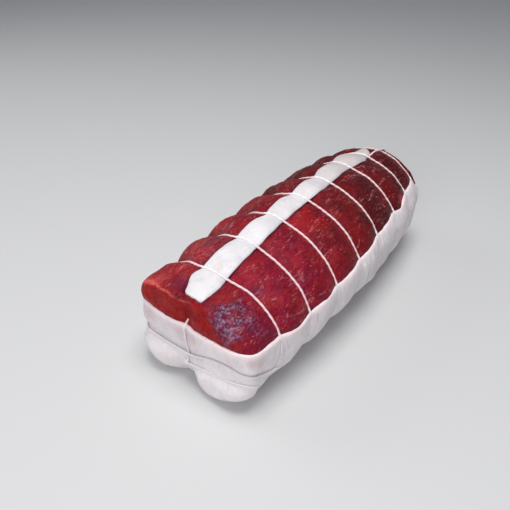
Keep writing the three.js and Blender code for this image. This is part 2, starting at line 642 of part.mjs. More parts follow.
// The lengthwise string: out from under the strip's front end, down the cleft, along the
// keel, up the back face and over hoop eight to the strip's back end.
const OVER_HOOP = { lift: 2.9, reach: 4 };
const LINK = { turn: Math.PI / 2 - 0.11, gap: 2.2 }; // the stretch behind the strip runs right of the crest
function lengthwisePath() {
  const lay = (p, skin) => ({
    at: skinPoint(p, skin, -CLEFT_LIE),
    out: new THREE.Vector3(p.nx, p.ny, p.nz),
  });
  const over = (turn) => (ring) => lay(plainPoint(ring, turn), "meat");
  const under = (ring) => {
    const corner = lay(plainPoint(ring, wrappedTurns(ring)[WRAPPED_COLUMNS / 2]), "fat");
    corner.at.z = Math.max(corner.at.z, TABLE_LIE);
    return corner;
  };
  const isFrontStretch = ({ at }) => at.y < STRIP.front - CLEARANCE;
  const isBackStretch = ({ at }) => at.y > STRIP.back + LINK.gap;
  const link = rings.map(over(LINK.turn)).filter(isBackStretch);
  for (const { at } of link) at.z += OVER_HOOP.lift * bell(at.y - lastHoop, OVER_HOOP.reach);
  return [
    ...rings.map(over(Math.PI / 2)).filter(isFrontStretch).reverse(),
    lay(facePole(ENDS.front), "fat"),
    ...rings.map(under),
    lay(facePole(ENDS.back), "fat"),
    ...link.reverse(),
  ];
}
function lengthwiseGeometry(path) {
  const knotPlace = crossing(path, KNOT.height, -1);
  knotPlace.y -= KNOT.proud;
  const knot = new THREE.SphereGeometry(KNOT.radius, KNOT.sides, KNOT.rings);
  knot.scale(1, KNOT.depth, KNOT.tall).translate(...knotPlace);
  return fromSolid(toSolid(stringGeometry(path)).add(toSolid(knot)));
}

// Where a path passes a height on its way down the front (side -1) or up the back (side 1).
function crossing(path, height, side) {
  const passed = ({ at }) => side * (at.z - height) > 0;
  const i = path.findIndex((corner, k) => k > 0 && passed(corner) && !passed(path[k - 1]));
  const [a, b] = [path[i - 1].at, path[i].at];
  return a.clone().lerp(b, (height - a.z) / (b.z - a.z));
}

// A closed outline's corners in order, opened at its longest side.
function openAtLongest(corners) {
  const sides = corners.map(({ at }, i) => {
    const before = corners.at(i - 1).at;
    return Math.hypot(at[0] - before[0], at[1] - before[1]);
  });
  const first = sides.indexOf(Math.max(...sides));
  return [...corners.slice(first), ...corners.slice(0, first)];
}

// The stretch of a path where depth is positive, cut at its two ends.
function stretch(path, depth) {
  const kept = [];
  path.forEach((corner, i) => {
    const before = path[i - 1];
    if (before && depth(before) * depth(corner) < 0) {
      const t = depth(before) / (depth(before) - depth(corner));
      const at = corner.at.map((value, k) => mix(before.at[k], value, t));
      kept.push({ at, normal: mix(before.normal, corner.normal, t) });
    }
    if (depth(corner) > 0) kept.push(corner);
  });
  return kept;
}

// A belt string drawn tight round one end of the fat wrap, from one side to the other, or from
// startX on. It lies over the lengthwise string.
const BELT_SAMPLES = 60;
const BELT_SWEEP = 1.9; // bearings felt for the skin, each way from straight along the joint
const BELT_END = 2.5; // from a belt's ends to the middle of the girth string
function beltGeometry({ hoop, side }, belt, wrap, lengthwise, startX = -WIDTH.middle) {
  const wrapMesh = new THREE.Mesh(wrap);
  const touched = Array.from({ length: BELT_SAMPLES + 1 }, (_, i) => {
    const bearing = BELT_SWEEP * ((2 * i) / BELT_SAMPLES - 1);
    const out = new THREE.Vector3(Math.sin(bearing), side * Math.cos(bearing), 0);
    const outside = out.clone().multiplyScalar(2 * WIDTH.middle).setY(hoop + 2 * WIDTH.middle * out.y);
    const distances = [-STRING_RADIUS, 0, STRING_RADIUS].map((rise) => {
      const from = outside.clone().setZ(beltHeight(belt, hoop, out.x, hoop + out.y) + rise);
      return new THREE.Raycaster(from, out.clone().negate()).intersectObject(wrapMesh)[0].distance;
    });
    return outside.addScaledVector(out, -Math.min(...distances));
  });
  const beyondHoop = (x, y) => side * (y - hoop - hoopShift(x, hoop));
  const crossed = crossing(lengthwise, belt.middle, side);
  const isFelt = (p) => p.x > startX && beyondHoop(p.x, p.y) > BELT_END / 2;
  const felt = touched.filter(isFelt).map((p) => [p.x, p.y]);
  const outline = tautOutline([...felt, [crossed.x, crossed.y + side * STRING_RADIUS]]);
  const corners = openAtLongest(looseOutline(outline, BELT_LIE, BELT_BEND));
  const path = stretch(corners, ({ at: [x, y] }) => Math.min(beyondHoop(x, y) - BELT_END, x - startX));
  const lay = ({ at: [x, y], normal }) => ({
    at: new THREE.Vector3(x, y, beltHeight(belt, hoop, x, y)),
    out: new THREE.Vector3(Math.cos(normal), Math.sin(normal), 0),
  });
  return stringGeometry(laidPath(path, lay));
}

// ---- the joint ----
const joint = new THREE.Group();
function addPiece(name, geometry, kind) {
  const mesh = new THREE.Mesh(geometry, MATERIALS[kind]);
  mesh.name = name;
  joint.add(mesh);
  return geometry;
}

const pocket = toSolid(stripGeometry(CLEARANCE));
addPiece("meat", fromSolid(toSolid(loafGeometry()).subtract(pocket)), "meat");
const wrap = addPiece("fat_wrap", wrapGeometry(), "fat");
addPiece("fat_strip", stripGeometry(), "fat");
HOOP_PLACES.forEach((_, i) => addPiece(`hoop_string_${i + 1}`, hoopGeometry(i), "string"));
const lengthwise = lengthwisePath();
addPiece("lengthwise_string", lengthwiseGeometry(lengthwise), "string");
addPiece("front_belt_string", beltGeometry(ENDS.front, FRONT_BELT, wrap, lengthwise), "string");
addPiece("front_low_string", beltGeometry(ENDS.front, LOW_BELT, wrap, lengthwise, LOW_BELT.from), "string");
addPiece("back_belt_string", beltGeometry(ENDS.back, BACK_BELT, wrap, lengthwise), "string");

// The origin is the middle of the joint's footprint, on the table.
const footprint = new THREE.Box3().setFromObject(joint).getCenter(new THREE.Vector3());
joint.position.set(-footprint.x, -footprint.y, 0);

export default joint;
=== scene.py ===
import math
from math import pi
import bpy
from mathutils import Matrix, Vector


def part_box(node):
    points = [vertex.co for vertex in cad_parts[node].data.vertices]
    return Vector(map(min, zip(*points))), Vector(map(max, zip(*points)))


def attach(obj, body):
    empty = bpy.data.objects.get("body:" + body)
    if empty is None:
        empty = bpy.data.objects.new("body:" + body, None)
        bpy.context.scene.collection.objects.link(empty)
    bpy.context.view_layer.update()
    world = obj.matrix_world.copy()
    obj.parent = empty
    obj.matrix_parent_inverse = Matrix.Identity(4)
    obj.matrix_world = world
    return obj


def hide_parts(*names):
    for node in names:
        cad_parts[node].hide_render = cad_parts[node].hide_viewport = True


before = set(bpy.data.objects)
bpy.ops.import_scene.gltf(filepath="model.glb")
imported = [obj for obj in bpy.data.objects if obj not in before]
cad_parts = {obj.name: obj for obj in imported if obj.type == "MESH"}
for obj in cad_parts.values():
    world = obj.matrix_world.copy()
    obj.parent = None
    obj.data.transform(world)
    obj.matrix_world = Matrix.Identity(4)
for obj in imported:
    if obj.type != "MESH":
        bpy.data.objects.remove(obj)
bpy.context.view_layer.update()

# A raw beef roasting joint tied with twine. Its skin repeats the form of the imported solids, with
# finer relief. Lengths are millimetres in the joint's own frame, where girth string 1 lies at
# y = -105, until to_row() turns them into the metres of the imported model. A span is the start
# and end of a smooth step.
from types import SimpleNamespace as Sizes

import bpy
import numpy as np
from mathutils import Vector, noise
from mathutils.bvhtree import BVHTree

# ---- driving dimensions, as in the solids ----
HOOP_PLACES = np.array([-105, -74, -45, -16, 13.7, 47, 76, 104.3])  # girth strings at the crest
HOOP_TILTS = [-0.008, -0.018, -0.02, 0.006, 0.013, -0.009, 0.028, -0.02]  # y gained per x
LEFT_BENDS = Sizes(shifts=[10, 12, 13, 17, 9, 13, 10, 0], span=(-6, -50))  # y gained on the left
RIGHT_BENDS = Sizes(shifts=[4, 0.5, 1, 1, 0.8, 1.8, 1.6, 0], span=(4, 26))  # and on the right
FIRST_HOOP, LAST_HOOP = HOOP_PLACES[0], HOOP_PLACES[-1]
CREST_ROUNDS = 4  # of closing in on a bent ring's place at the crest
FRONT_FACE, BACK_FACE = -129.3, 116
WIDTH = (89, 108.5, 79)  # at the front face, the middle and the back face
CREST = (72, 89, 78)  # top line of the lean meat
BELLY = 47.5  # height at which a cross-section is widest
SINK = 2.2  # how far the table presses the round underside flat
CROWN_POWER = 1.8  # superellipse exponent above the belly
CORNER = Sizes(power=2.6, span=(15, 40))  # squarer top left corner near the front face
BASE_POWER = (2.9, 2.14, 2.9)  # below the belly
EDGE_POWER = 2  # superellipse exponent of the rounded edges of both faces
SQUARE_CORNER = Sizes(sine_span=(0.2, 0.9), cosine_span=(0.6, -0.4))  # round the edge
FACE_DOME = 0.8
RIM = Sizes(front=51.5, back=65, span=(-104, 80), tuck=7)  # upper edge of the fat wrap
RIM_SAGS = [(-89, 2.6, 12), (57, 3, 9)]  # place, depth, width
FAT = Sizes(body=4.8, ends=2.7, span=(4, 20))  # thickness of the wrap, growing from its ends

# ---- how the strings bite ----
PINCH = Sizes(meat=4.2, fat=2.2, underside=4.3)
PINCH_LEFT = Sizes(depth=2.2, span=(-40, -8), balance=0.12)  # deeper on the left flank
PINCH_POWER = 0.9  # below 1 the swelling meets each string in a cusp
BALANCE = Sizes(meat=0.45, fat=0.25)  # share that stands out of the plain loaf
CREST_EASE = 0.5  # share of the pinch that the crest is spared
RIM_EASE = 16  # over this height above the rim the meat's swell grows from the fat's
END_SWELL = Sizes(length=8, left_span=(-20, 10), back_loss=0.8)  # past the end strings
OUTER_SPAN = 30  # the skin beyond an end string swells as if the next one were this far
SLACK = Sizes(share=0.7, reach=14, low_span=(2, 16), fade=10)  # of girth string 1, low down
STRING_RADIUS = 0.75
# A belt twine's heights at the left hoop, the middle, the right corner and the right hoop, and
# the bearings of these four places from straight along the joint.
FRONT_BELT = Sizes(left=28, middle=27, corner=33.5, right=27, depth=3.4, width=7)
LOW_BELT = Sizes(left=20, middle=20.5, corner=26.3, right=12, depth=1.6, width=5, span=(0, 8))
BACK_BELT = Sizes(left=34, middle=34, corner=34, right=34, depth=1.8, width=8)
BELT_BEARINGS = (-1.2, -0.2, 0.9, pi / 2)

# ---- other relief ----
END_ZONE = (10, 28)  # from a face, where its relief fades out
CLEFT = Sizes(x=-3, meat=4.5, fat=1.6, width=5, reach=14, crest=0.2, fade=12, meat_span=(-1, 8))
CLEFT_BOW = Sizes(x=-3.4, height=31, width=9)
NOTCH = Sizes(x=-4.5, depth=6, left_width=15, right_width=7.5, span=(6, 24), reach=15)
LOBES = Sizes(left=5.2, right=3.2, span=(18, 32), spacing=14, blend=12)
UNDERCUT = Sizes(left=3, right=1.2, side=3.2, span=(14, 34))
LEFT_TUCK = Sizes(depth=2, z=48, width=7, span=(-38, -20))  # at the rim's front left corner
LEFT_DROP = Sizes(depth=2.2, start_span=(-62, -34), end_span=(20, 80))  # flatter left shoulder
FOLD = Sizes(y=13, z=27, depth=2.6, reach=7, width=9)  # a bulge of fat on the right
KEEL = Sizes(depth=4.9, end_depth=3.1, reach=14, width=4.5, straight=60)
STRIP = Sizes(front=-126, back=87, half_width=7.2, flare=3.4, swell=0.9, thickness=4.4, bed=2.4)
STRIP_DRIFT = Sizes(front=0.4, back=-3.2, span=(0, 50))  # sideways place of its middle
STRIP_HEAD = Sizes(taper=0.36, taper_length=18, slant=2.4, slant_length=14)
STRIP_TAIL = Sizes(start=66, narrowing=0.5, drift=1.6, slant=-0.8)  # narrow and cut aslant
STRIP_ROUNDING = Sizes(front=4, back=2, blunt=0.8, thinning=0.2, power=0.8)
FRONT = Sizes(
    face=FRONT_FACE, side=-1, hoop=FIRST_HOOP, middle=CLEFT.x, belt=FRONT_BELT, lobed=1,
    edge=Sizes(depth=11, right=15, left=9, top=5, bottom=11.5, top_left_power=5.5),
)
BACK = Sizes(
    face=BACK_FACE, side=1, hoop=LAST_HOOP, middle=0, belt=BACK_BELT, lobed=0,
    edge=Sizes(depth=10.5, right=18, left=15, top=17, bottom=10, top_left_power=EDGE_POWER),
)

# ---- only in this scene ----
GENTLE_POWER = 2.5  # turns the ends' normals gently, so that columns don't cross
HIDDEN_GAP = 0.5  # between the wrap's inside and the lean meat that it hides
LIP_RADIUS = 1.5  # roundness of the fat wrap's upper edge
LIP = Sizes(inset=1.4, reach=4.5, power=1.3)  # how the lean meat draws in behind that edge
GROOVE = Sizes(depth=2.2, width=3, span=(-34, -14))  # the left flank closes over the twine
STRIP_BED = Sizes(depth=2.3, span=(-2.2, 1.6), up_span=(-0.1, 0.2))
# Layers of unevenness: height, scale per millimetre and, where it has one, stretch.
MEAT_LAYERS = [(0.5, 0.09), (0.22, 0.35, (1, 0.5, 1)), (0.1, 1.1, (1, 0.35, 1))]
FAT_LAYERS = [(0.45, 0.06), (0.16, 0.3, (1, 1, 0.5))]
STRIP_LAYERS = [(0.22, 0.12), (0.08, 0.6)]
STRIP_EDGE = Sizes(wander=0.5, scale=0.11)
# Creases that fan out from a source above the rim, so many to a radian
CREASES = Sizes(height=0.42, count=26, source=7, width=9, length=18, start=4, wander=2, scale=0.12)
# The upper edge of the front's cut face, as heights at places across it.
CUT_TOP_X = [-46, -40.5, -32.4, -24, -13, -7.5, -2, 6.6, 10, 13.7, 17.2, 20.9, 23.8, 26.8, 31]
CUT_TOP_Z = [58, 63.9, 68.7, 71.5, 72, 70.4, 69.6, 73.4, 72.5, 70.2, 65.3, 62.5, 59.8, 53.7, 50]

# ---- mesh steps ----
RING_SPACING, EDGE_STEPS, FACE_STEPS = 0.6, 16, 30
MEAT_COLUMNS, WRAP_COLUMNS, INNER_COLUMNS = 170, 140, 16
KEEL_CROWDING = 1.2  # over 1 draws the wrap's columns towards the keel
HALVINGS = 24  # of the range of directions that is searched for the rim
STEEPEST_RIM = 1.4
LIP_STEPS = 8
STRIP_LOOPS, STRIP_SIDES = 340, 44
STRING_STEP, STRING_SIDES = 0.45, 15

SEED = Vector((3.1, 7.7, 1.3))
NOISE_GAIN = 1.6  # brings the noise to about -1 to 1


# ---- small helpers ----
def mix(a, b, t):
    return a + (b - a) * t


def bell(distance, width):
    return np.exp(-((distance / width) ** 2))


def ramp(start, end, v):
    t = np.clip((v - start) / (end - start), 0, 1)
    return t * t * (3 - 2 * t)


def fade(start, end, v):
    return 1 - ramp(start, end, v)


def unit(v):
    return v / np.maximum(np.linalg.norm(v, axis=-1, keepdims=True), 1e-9)


def along(size, y):
    """A size that passes through its front, middle and back values on one parabola."""
    front, middle, back = size
    t = 2 * (y - FRONT_FACE) / (BACK_FACE - FRONT_FACE) - 1
    return middle + (back - front) / 2 * t + ((front + back) / 2 - middle) * t * t


def rim_height(y):
    """Height of the curve where the wrap's outside ends and its rounded edge starts."""
    sags = sum(depth * bell(y - place, width) for place, depth, width in RIM_SAGS)
    rise = mix(RIM.front, RIM.back, ramp(*RIM.span, y))
    return rise - sags - RIM.tuck * ramp(LAST_HOOP, BACK_FACE, y) - LIP_RADIUS


def fibre(points, scale, stretch=(1, 1, 1)):
    """Smooth noise of about -1 to 1 at each point, at a scale per millimetre."""
    flat = points.reshape(-1, 3) * (np.array(stretch) * scale)
    values = [noise.noise(Vector(p) + SEED) for p in flat.tolist()]
    return np.array(values).reshape(points.shape[:-1]) * NOISE_GAIN


def uneven(points, layers):
    return sum(height * fibre(points, *form) for height, *form in layers)


# ---- the plain loaf ----
def crown_power(y, x):
    corner = mix(CORNER.power, CROWN_POWER, ramp(*CORNER.span, y - FRONT_FACE))
    return np.where(x < 0, corner, CROWN_POWER)


def section(y, turn, least_power=1.0):
    """Points x, z of the cross-section at y and their outward normals."""
    c, s = np.cos(turn), np.sin(turn)
    half = along(WIDTH, y) / 2
    reach = np.where(s >= 0, along(CREST, y) - BELLY, BELLY + SINK)
    power = np.where(s >= 0, crown_power(y, c), along(BASE_POWER, y))
    r = (np.abs(c / half) ** power + np.abs(s / reach) ** power) ** (-1 / power)
    power = np.maximum(power, least_power)
    nx = np.sign(c) * np.abs(r * c / half) ** (power - 1) / half
    nz = np.sign(s) * np.abs(r * s / reach) ** (power - 1) / reach
    size = np.hypot(nx, nz)
    return r * c, BELLY + r * s, nx / size, nz / size


def turn_over(y, x):
    """The direction in which the upper half of the cross-section at y stands over x."""
    power = crown_power(y, x)
    height = np.maximum(0, 1 - np.abs(2 * x / along(WIDTH, y)) ** power) ** (1 / power)
    return np.arctan2((along(CREST, y) - BELLY) * height, x)


def plain_points(ring, turn):
    """Where a ring meets the directions on the plain loaf: points and outward normals."""
    end = ring.get("end")
    if end is None:
        x, z, nx, nz = section(ring["y"], turn)
        at = np.stack([x, ring["y"] + hoop_shift(x, ring["y"]), z], -1)
        return at, np.stack([nx, np.zeros_like(nx), nz], -1)
    face, side, edge = end.face, end.side, end.edge
    lean, share = ring["lean"], ring["share"]
    x, z, nx, nz = section(face - side * edge.depth, turn, GENTLE_POWER)
    c, s = np.cos(turn), np.sin(turn)
    inset = np.where(c > 0, edge.right, edge.left) * c * c
    inset = inset + np.where(s > 0, edge.top, edge.bottom) * s * s
    # The edge's profile is a superellipse, squarest at the top left corner.
    corner = ramp(*SQUARE_CORNER.sine_span, s) * ramp(*SQUARE_CORNER.cosine_span, c)
    power = mix(EDGE_POWER, edge.top_left_power, corner)
    sine, cosine = max(math.sin(lean), 1e-9), max(math.cos(lean), 1e-9)
    drawn = inset * (1 - sine ** (2 / power))
    out = sine ** (2 - 2 / power) / inset
    forward = cosine ** (2 - 2 / power) / edge.depth
    size = np.hypot(out, forward)
    dome = FACE_DOME * (1 - share**2)
    y = face - side * (edge.depth * (1 - cosine ** (2 / power)) - dome)
    at_x = mix(end.middle, x - nx * drawn, share)
    at_z = mix(rim_height(face), z - nz * drawn, share)
    at = np.stack([at_x, y, at_z], -1)
    return at, np.stack([nx * out / size, side * forward / size, nz * out / size], -1)


def face_pole(end):
    at = [end.middle, end.face + end.side * FACE_DOME, rim_height(end.face)]
    return np.array([at]), np.array([[0.0, end.side, 0.0]])


# ---- relief of the solids ----
HOOP_MARKS = [FRONT_FACE + FRONT.edge.depth, *HOOP_PLACES, BACK_FACE - BACK.edge.depth]


def hoop_shift(x, u):
    """How far a ring that crosses the crest at u lies back at x."""
    at_hoops = lambda values: np.interp(u, HOOP_MARKS, [0, *values, 0])
    bends = sum(at_hoops(side.shifts) * ramp(*side.span, x) for side in (LEFT_BENDS, RIGHT_BENDS))
    return at_hoops(HOOP_TILTS) * x + bends


def crest_place(x, y):
    """Where the ring through a point crosses the crest."""
    u = y
    for _ in range(CREST_ROUNDS):
        u = y - hoop_shift(x, u)
    return u


def to_hoop(points):
    """Distance along the joint from each point to the nearest girth twine."""
    u = crest_place(points[..., 0], points[..., 1])
    return np.min(np.abs(u[..., None] - HOOP_PLACES), axis=-1)


def pinch(y):
    """1 at a girth string and 0 midway between two."""
    gaps = np.diff(HOOP_PLACES)
    i = np.searchsorted(HOOP_PLACES, y, side="right") - 1
    inner = (i >= 0) & (i < len(gaps))
    start = HOOP_PLACES[np.maximum(i, 0)]
    span = np.where(inner, gaps[np.clip(i, 0, len(gaps) - 1)], OUTER_SPAN)
    share = np.minimum(np.abs(y - start) / span, np.where(inner, 1, 0.5))
    return 1 - np.sin(share * pi) ** PINCH_POWER


def belt_height(belt, hoop, x, y):
    """A belt twine's height on its way round an end of the joint."""
    left, middle, corner, right = BELT_BEARINGS
    bearing = np.arctan2(x, np.abs(y - hoop) + 0.1)
    start = mix(belt.left, belt.middle, ramp(left, middle, bearing))
    rise = (belt.corner - belt.middle) * ramp(middle, corner, bearing)
    fall = (belt.right - belt.corner) * ramp(corner, right, bearing)
    return start + rise + fall


def keel_place(y):
    return NOTCH.x * fade(0, KEEL.straight, y - FRONT_FACE)


def cleft_place(z):
    foot = RIM.front
    above = CLEFT.x * np.maximum(0, 1 - (z - foot) / (CREST[0] - foot))
    bow = CLEFT_BOW.x * bell(z - CLEFT_BOW.height, CLEFT_BOW.width)
    return np.where(z < foot, mix(NOTCH.x, CLEFT.x, z / foot) + bow, above)


def end_relief(at, end):
    x, y, z = np.moveaxis(at, -1, 0)
    face, belt = end.face, end.belt
    near = fade(*END_ZONE, np.abs(y - face))
    low = fade(*LOBES.span, z)
    meaty = ramp(*CLEFT.meat_span, z - rim_height(face))
    shallow = mix(1, CLEFT.crest, ramp(CREST[0] - CLEFT.fade, CREST[0], z))
    cleft = mix(CLEFT.fat, CLEFT.meat, meaty) * shallow * (1 - low)
    cleft = cleft * bell(y - face, CLEFT.reach)
    groove = belt.depth * bell(z - belt_height(belt, end.hoop, x, y), belt.width)
    bulge = mix(LOBES.left, LOBES.right, ramp(-LOBES.blend, LOBES.blend, x))
    lobe = end.lobed * bulge * low * (1 - bell(x - NOTCH.x, LOBES.spacing))
    middle = cleft_place(z) if face == FRONT_FACE else 0
    return near * (lobe - groove) - cleft * bell(x - middle, CLEFT.width)


def front_cut(x, y, z, out, down):
    """How far the notch, the undercut lobes and the left tuck draw in the front end."""
    near_front = fade(*UNDERCUT.span, y - FRONT_FACE)
    width = np.where(x < NOTCH.x, NOTCH.left_width, NOTCH.right_width)
    notch = NOTCH.depth * fade(*NOTCH.span, z) * bell(y - FRONT_FACE, NOTCH.reach)
    notch = notch * bell(x - NOTCH.x, width)
    under = mix(UNDERCUT.left, UNDERCUT.right, ramp(-LOBES.blend, LOBES.blend, x))
    side = UNDERCUT.side * np.maximum(0, out[..., 0]) * near_front
    tuck = LEFT_TUCK.depth * bell(z - LEFT_TUCK.z, LEFT_TUCK.width) * near_front
    on_left = fade(*LEFT_TUCK.span, x)
    return notch + down * (under * np.maximum(0, -out[..., 1]) + side) + tuck * on_left


def meat_bite(x, y, z, up):
    """How deep the strings bite into the lean meat, the share that swells out and the left drop."""
    above_rim = ramp(0, RIM_EASE, z - rim_height(y))
    on_left = fade(*PINCH_LEFT.span, x)
    depth = PINCH.meat * (1 - CREST_EASE * up**3) + PINCH_LEFT.depth * on_left
    balance = mix(BALANCE.fat, BALANCE.meat - PINCH_LEFT.balance * on_left, above_rim)
    before = ramp(0, END_SWELL.length, FIRST_HOOP - y) * fade(*END_SWELL.left_span, x)
    beyond = ramp(0, END_SWELL.length, y - LAST_HOOP)
    balance = balance * (1 - before) * (1 - END_SWELL.back_loss * beyond)
    shoulder = ramp(*LEFT_DROP.start_span, y) * fade(*LEFT_DROP.end_span, y)
    drop = LEFT_DROP.depth * on_left * above_rim * shoulder
    return mix(PINCH.fat, depth, above_rim), balance, drop


def relief(at, out, skin):
    """How far the skin stands out of the plain loaf, as in the solids."""
    x, y, z = np.moveaxis(at, -1, 0)
    down, up = np.maximum(0, -out[..., 2]), np.maximum(0, out[..., 2])
    across, pressed = 1 - out[..., 1] ** 2, down * down
    depth, balance, drop = PINCH.fat, BALANCE.fat, 0
    if skin == "meat":
        depth, balance, drop = meat_bite(x, y, z, up)
    slack = SLACK.share * bell(y - FIRST_HOOP, SLACK.reach)
    slack = slack * ramp(*SLACK.low_span, z)
    slack = slack * fade(BELLY - SLACK.fade, BELLY, z)
    swell = mix(balance, 0, pressed) - pinch(crest_place(x, y)) * (1 - slack)
    pinched = across * mix(depth, PINCH.underside, pressed) * swell
    from_end = np.minimum(y - FRONT_FACE, BACK_FACE - y)
    keel = mix(KEEL.depth, KEEL.end_depth, bell(from_end, KEEL.reach))
    keel = keel * down**4 * bell(x - keel_place(y), KEEL.width)
    low_belt = LOW_BELT.depth * bell(z - belt_height(LOW_BELT, FIRST_HOOP, x, y), LOW_BELT.width)
    low_belt = low_belt * ramp(*LOW_BELT.span, x) * fade(*END_ZONE, y - FRONT_FACE)
    fold = FOLD.depth * bell(y - FOLD.y, FOLD.reach) * bell(z - FOLD.z, FOLD.width) * (x > 0)
    ends = end_relief(at, FRONT) + end_relief(at, BACK) - front_cut(x, y, z, out, down)
    return pinched + ends + fold - drop - keel - low_belt


# ---- the strip's place ----
def strip_tail(y):
    return ramp(STRIP_TAIL.start, STRIP.back, y)


def strip_middle(y):
    drift = mix(STRIP_DRIFT.front, STRIP_DRIFT.back, ramp(*STRIP_DRIFT.span, y))
    drift = drift + STRIP_TAIL.drift * strip_tail(y)
    return drift + STRIP_HEAD.slant * fade(0, STRIP_HEAD.slant_length, y - STRIP.front)


def strip_half_width(y):
    t = 2 * (y - STRIP.front) / (STRIP.back - STRIP.front) - 1
    taper = 1 - STRIP_HEAD.taper * fade(0, STRIP_HEAD.taper_length, y - STRIP.front)
    taper = taper * (1 - STRIP_TAIL.narrowing * strip_tail(y))
    return (STRIP.half_width + STRIP.flare * t * t + STRIP.swell * (1 - pinch(y))) * taper


def strip_slant(y):
    return STRIP_TAIL.slant * strip_tail(y)


def beside_strip(points):
    """Distance over the crest from each point to the strip's edge, less than 0 under it."""
    x, y = points[..., 0], points[..., 1]
    place = y
    for _ in range(CREST_ROUNDS):
        place = y - strip_slant(place) * (x - strip_middle(place))
    beside = np.abs(x - strip_middle(place)) - strip_half_width(place)
    return np.where((place > STRIP.front - 0.5) & (place < STRIP.back + 0.5), beside, math.inf)


# ---- skin with fine relief ----
def meat_detail(at, out):
    """Fine relief of the lean meat: its bed for the strip, its drawn-in lower edge and its grain."""
    above = np.maximum(0, at[..., 2] - rim_height(at[..., 1]))
    behind_lip = LIP.inset * np.exp(-(above / LIP.reach) ** LIP.power)
    bed = STRIP_BED.depth * fade(*STRIP_BED.span, beside_strip(at))
    bed = bed * ramp(*STRIP_BED.up_span, out[..., 2])
    buried = GROOVE.depth * fade(*GROOVE.span, at[..., 0]) * bell(to_hoop(at), GROOVE.width)
    return uneven(at, MEAT_LAYERS) - behind_lip - bed - buried


def fat_detail(at, out):
    """Fine relief of the fat wrap: creases that fan out below each girth string's rim crossing."""
    y = crest_place(at[..., 0], at[..., 1])
    below = np.maximum(0, rim_height(at[..., 1]) - at[..., 2])
    wander = CREASES.wander * fibre(at, CREASES.scale)
    reach = np.exp(-below / CREASES.length) * ramp(0, CREASES.start, below)
    creases = np.zeros_like(y)
    for place in HOOP_PLACES:
        fan = np.arctan2(y - place, below + CREASES.source)
        wave = np.sin(fan * CREASES.count + wander)
        creases += CREASES.height * wave * bell(y - place, CREASES.width) * reach
    return (1 - out[..., 1] ** 2) * creases + uneven(at, FAT_LAYERS)


def skin_points(at, out, skin, depth=0.0, fine=True):
    """Points of the skin, pressed flat where it meets the table, and taken inwards by a depth."""
    height = relief(at, out, skin)
    if fine:
        height = height + (meat_detail if skin == "meat" else fat_detail)(at, out)
    raised = at + out * height[..., None]
    raised[..., 2] = np.maximum(0, raised[..., 2])
    return raised - out * np.asarray(depth)[..., None]


# ---- masks that the materials read ----
def meat_masks(points):
    """Painted shade where the lean meat meets the wrap or the strip, its cut front face and a painted
    highlight along the cut's edge.
    """
    x, y, z = points.T
    # painted shade in the crevices along the wrap's upper edge and along the strip's edges
    rim = 0.45 * np.exp(-np.maximum(0, z - rim_height(y) - LIP_RADIUS) / 2.2)
    strip = bell(beside_strip(points), 1.8) * (z > BELLY)
    on_front = ramp(-116, -120, y)
    above = z - np.interp(x, CUT_TOP_X, CUT_TOP_Z)
    ragged = above + 1.2 * fibre(points, 0.12) + 0.8 * fibre(points, 0.5)
    softness = mix(0.7, 3.0, ramp(6, 30, x))  # the cut fades into the flank on the right
    cut = fade(-1, 1, ragged / softness) * on_front
    # painted highlight along the upper edge of the cut face
    edge = bell(above, 0.75) * fade(1, 5, x) * on_front
    return {"seam": np.maximum(rim, strip), "cut": cut, "edge": edge}


def fat_masks(points):
    """The wrap's upper edge, where a pink tint and a painted highlight go, and the part of its front below
    that edge, tinted pink with painted shade.
    """
    below = rim_height(points[:, 1]) - points[:, 2]
    # band below the wrap's upper edge on the front, for a pink tint and painted shade under the lip
    blush = ramp(-112, -122, points[:, 1]) * bell(below - 6, 6)
    return {"rim": bell(below + 0.8, 2.4), "blush": blush}


def twine_masks(points):
    """Where the twine lies on lean meat and soaks up its colour, and where it lies on the wrap."""
    above = points[:, 2] - rim_height(points[:, 1])
    on_meat = ramp(2, 5, above) * ramp(-1, 1, beside_strip(points))
    return {"soaked": on_meat, "fatty": fade(-2, 1, above)}


# ---- rings and the directions of their columns ----
def ring_list(spacing, edge_steps, face_steps):
    """Rings from near the middle of the front face to near that of the back face."""

    def end_rings(end):
        faces = [dict(end=end, lean=0.0, share=(i + 1) / face_steps) for i in range(face_steps - 1)]
        leans = [step / edge_steps * pi / 2 for step in range(edge_steps + 1)]
        return faces + [dict(end=end, lean=lean, share=1.0) for lean in leans]

    rings = end_rings(FRONT)
    marks = [HOOP_MARKS[0], *HOOP_PLACES]
    for start, end in zip(marks, marks[1:]):
        count = max(1, round((end - start) / spacing))
        first = 1 if start == marks[0] else 0
        rings += [dict(y=mix(start, end, i / count)) for i in range(first, count)]
    return rings + [dict(y=LAST_HOOP)] + end_rings(BACK)[::-1]


def ring_place(ring):
    return ring["end"].face if "end" in ring else ring["y"]


def rim_turn(ring, side):
    """The direction in which a ring passes the rim's height, on the right or the left side."""
    height = rim_height(ring_place(ring))
    low, high = 0.0, STEEPEST_RIM
    for _step in range(HALVINGS):
        turn = (low + high) / 2
        at, _ = plain_points(ring, np.array([turn if side > 0 else pi - turn]))
        low, high = (turn, high) if at[0, 2] < height else (low, turn)
    return low if side > 0 else pi - low


def exposed_turns(ring, columns):
    u = np.linspace(-1, 1, columns + 1)
    rims = np.where(u < 0, rim_turn(ring, 1), rim_turn(ring, -1))
    return pi / 2 + np.abs(u) * (rims - pi / 2)


def wrapped_turns(ring, columns):
    u = np.linspace(-1, 1, columns + 1)
    keel = 1.5 * pi + math.atan(keel_place(ring_place(ring)) / BELLY)
    rims = np.where(u < 0, rim_turn(ring, -1), rim_turn(ring, 1) + 2 * pi)
    return keel + np.abs(u) ** KEEL_CROWDING * (rims - keel)


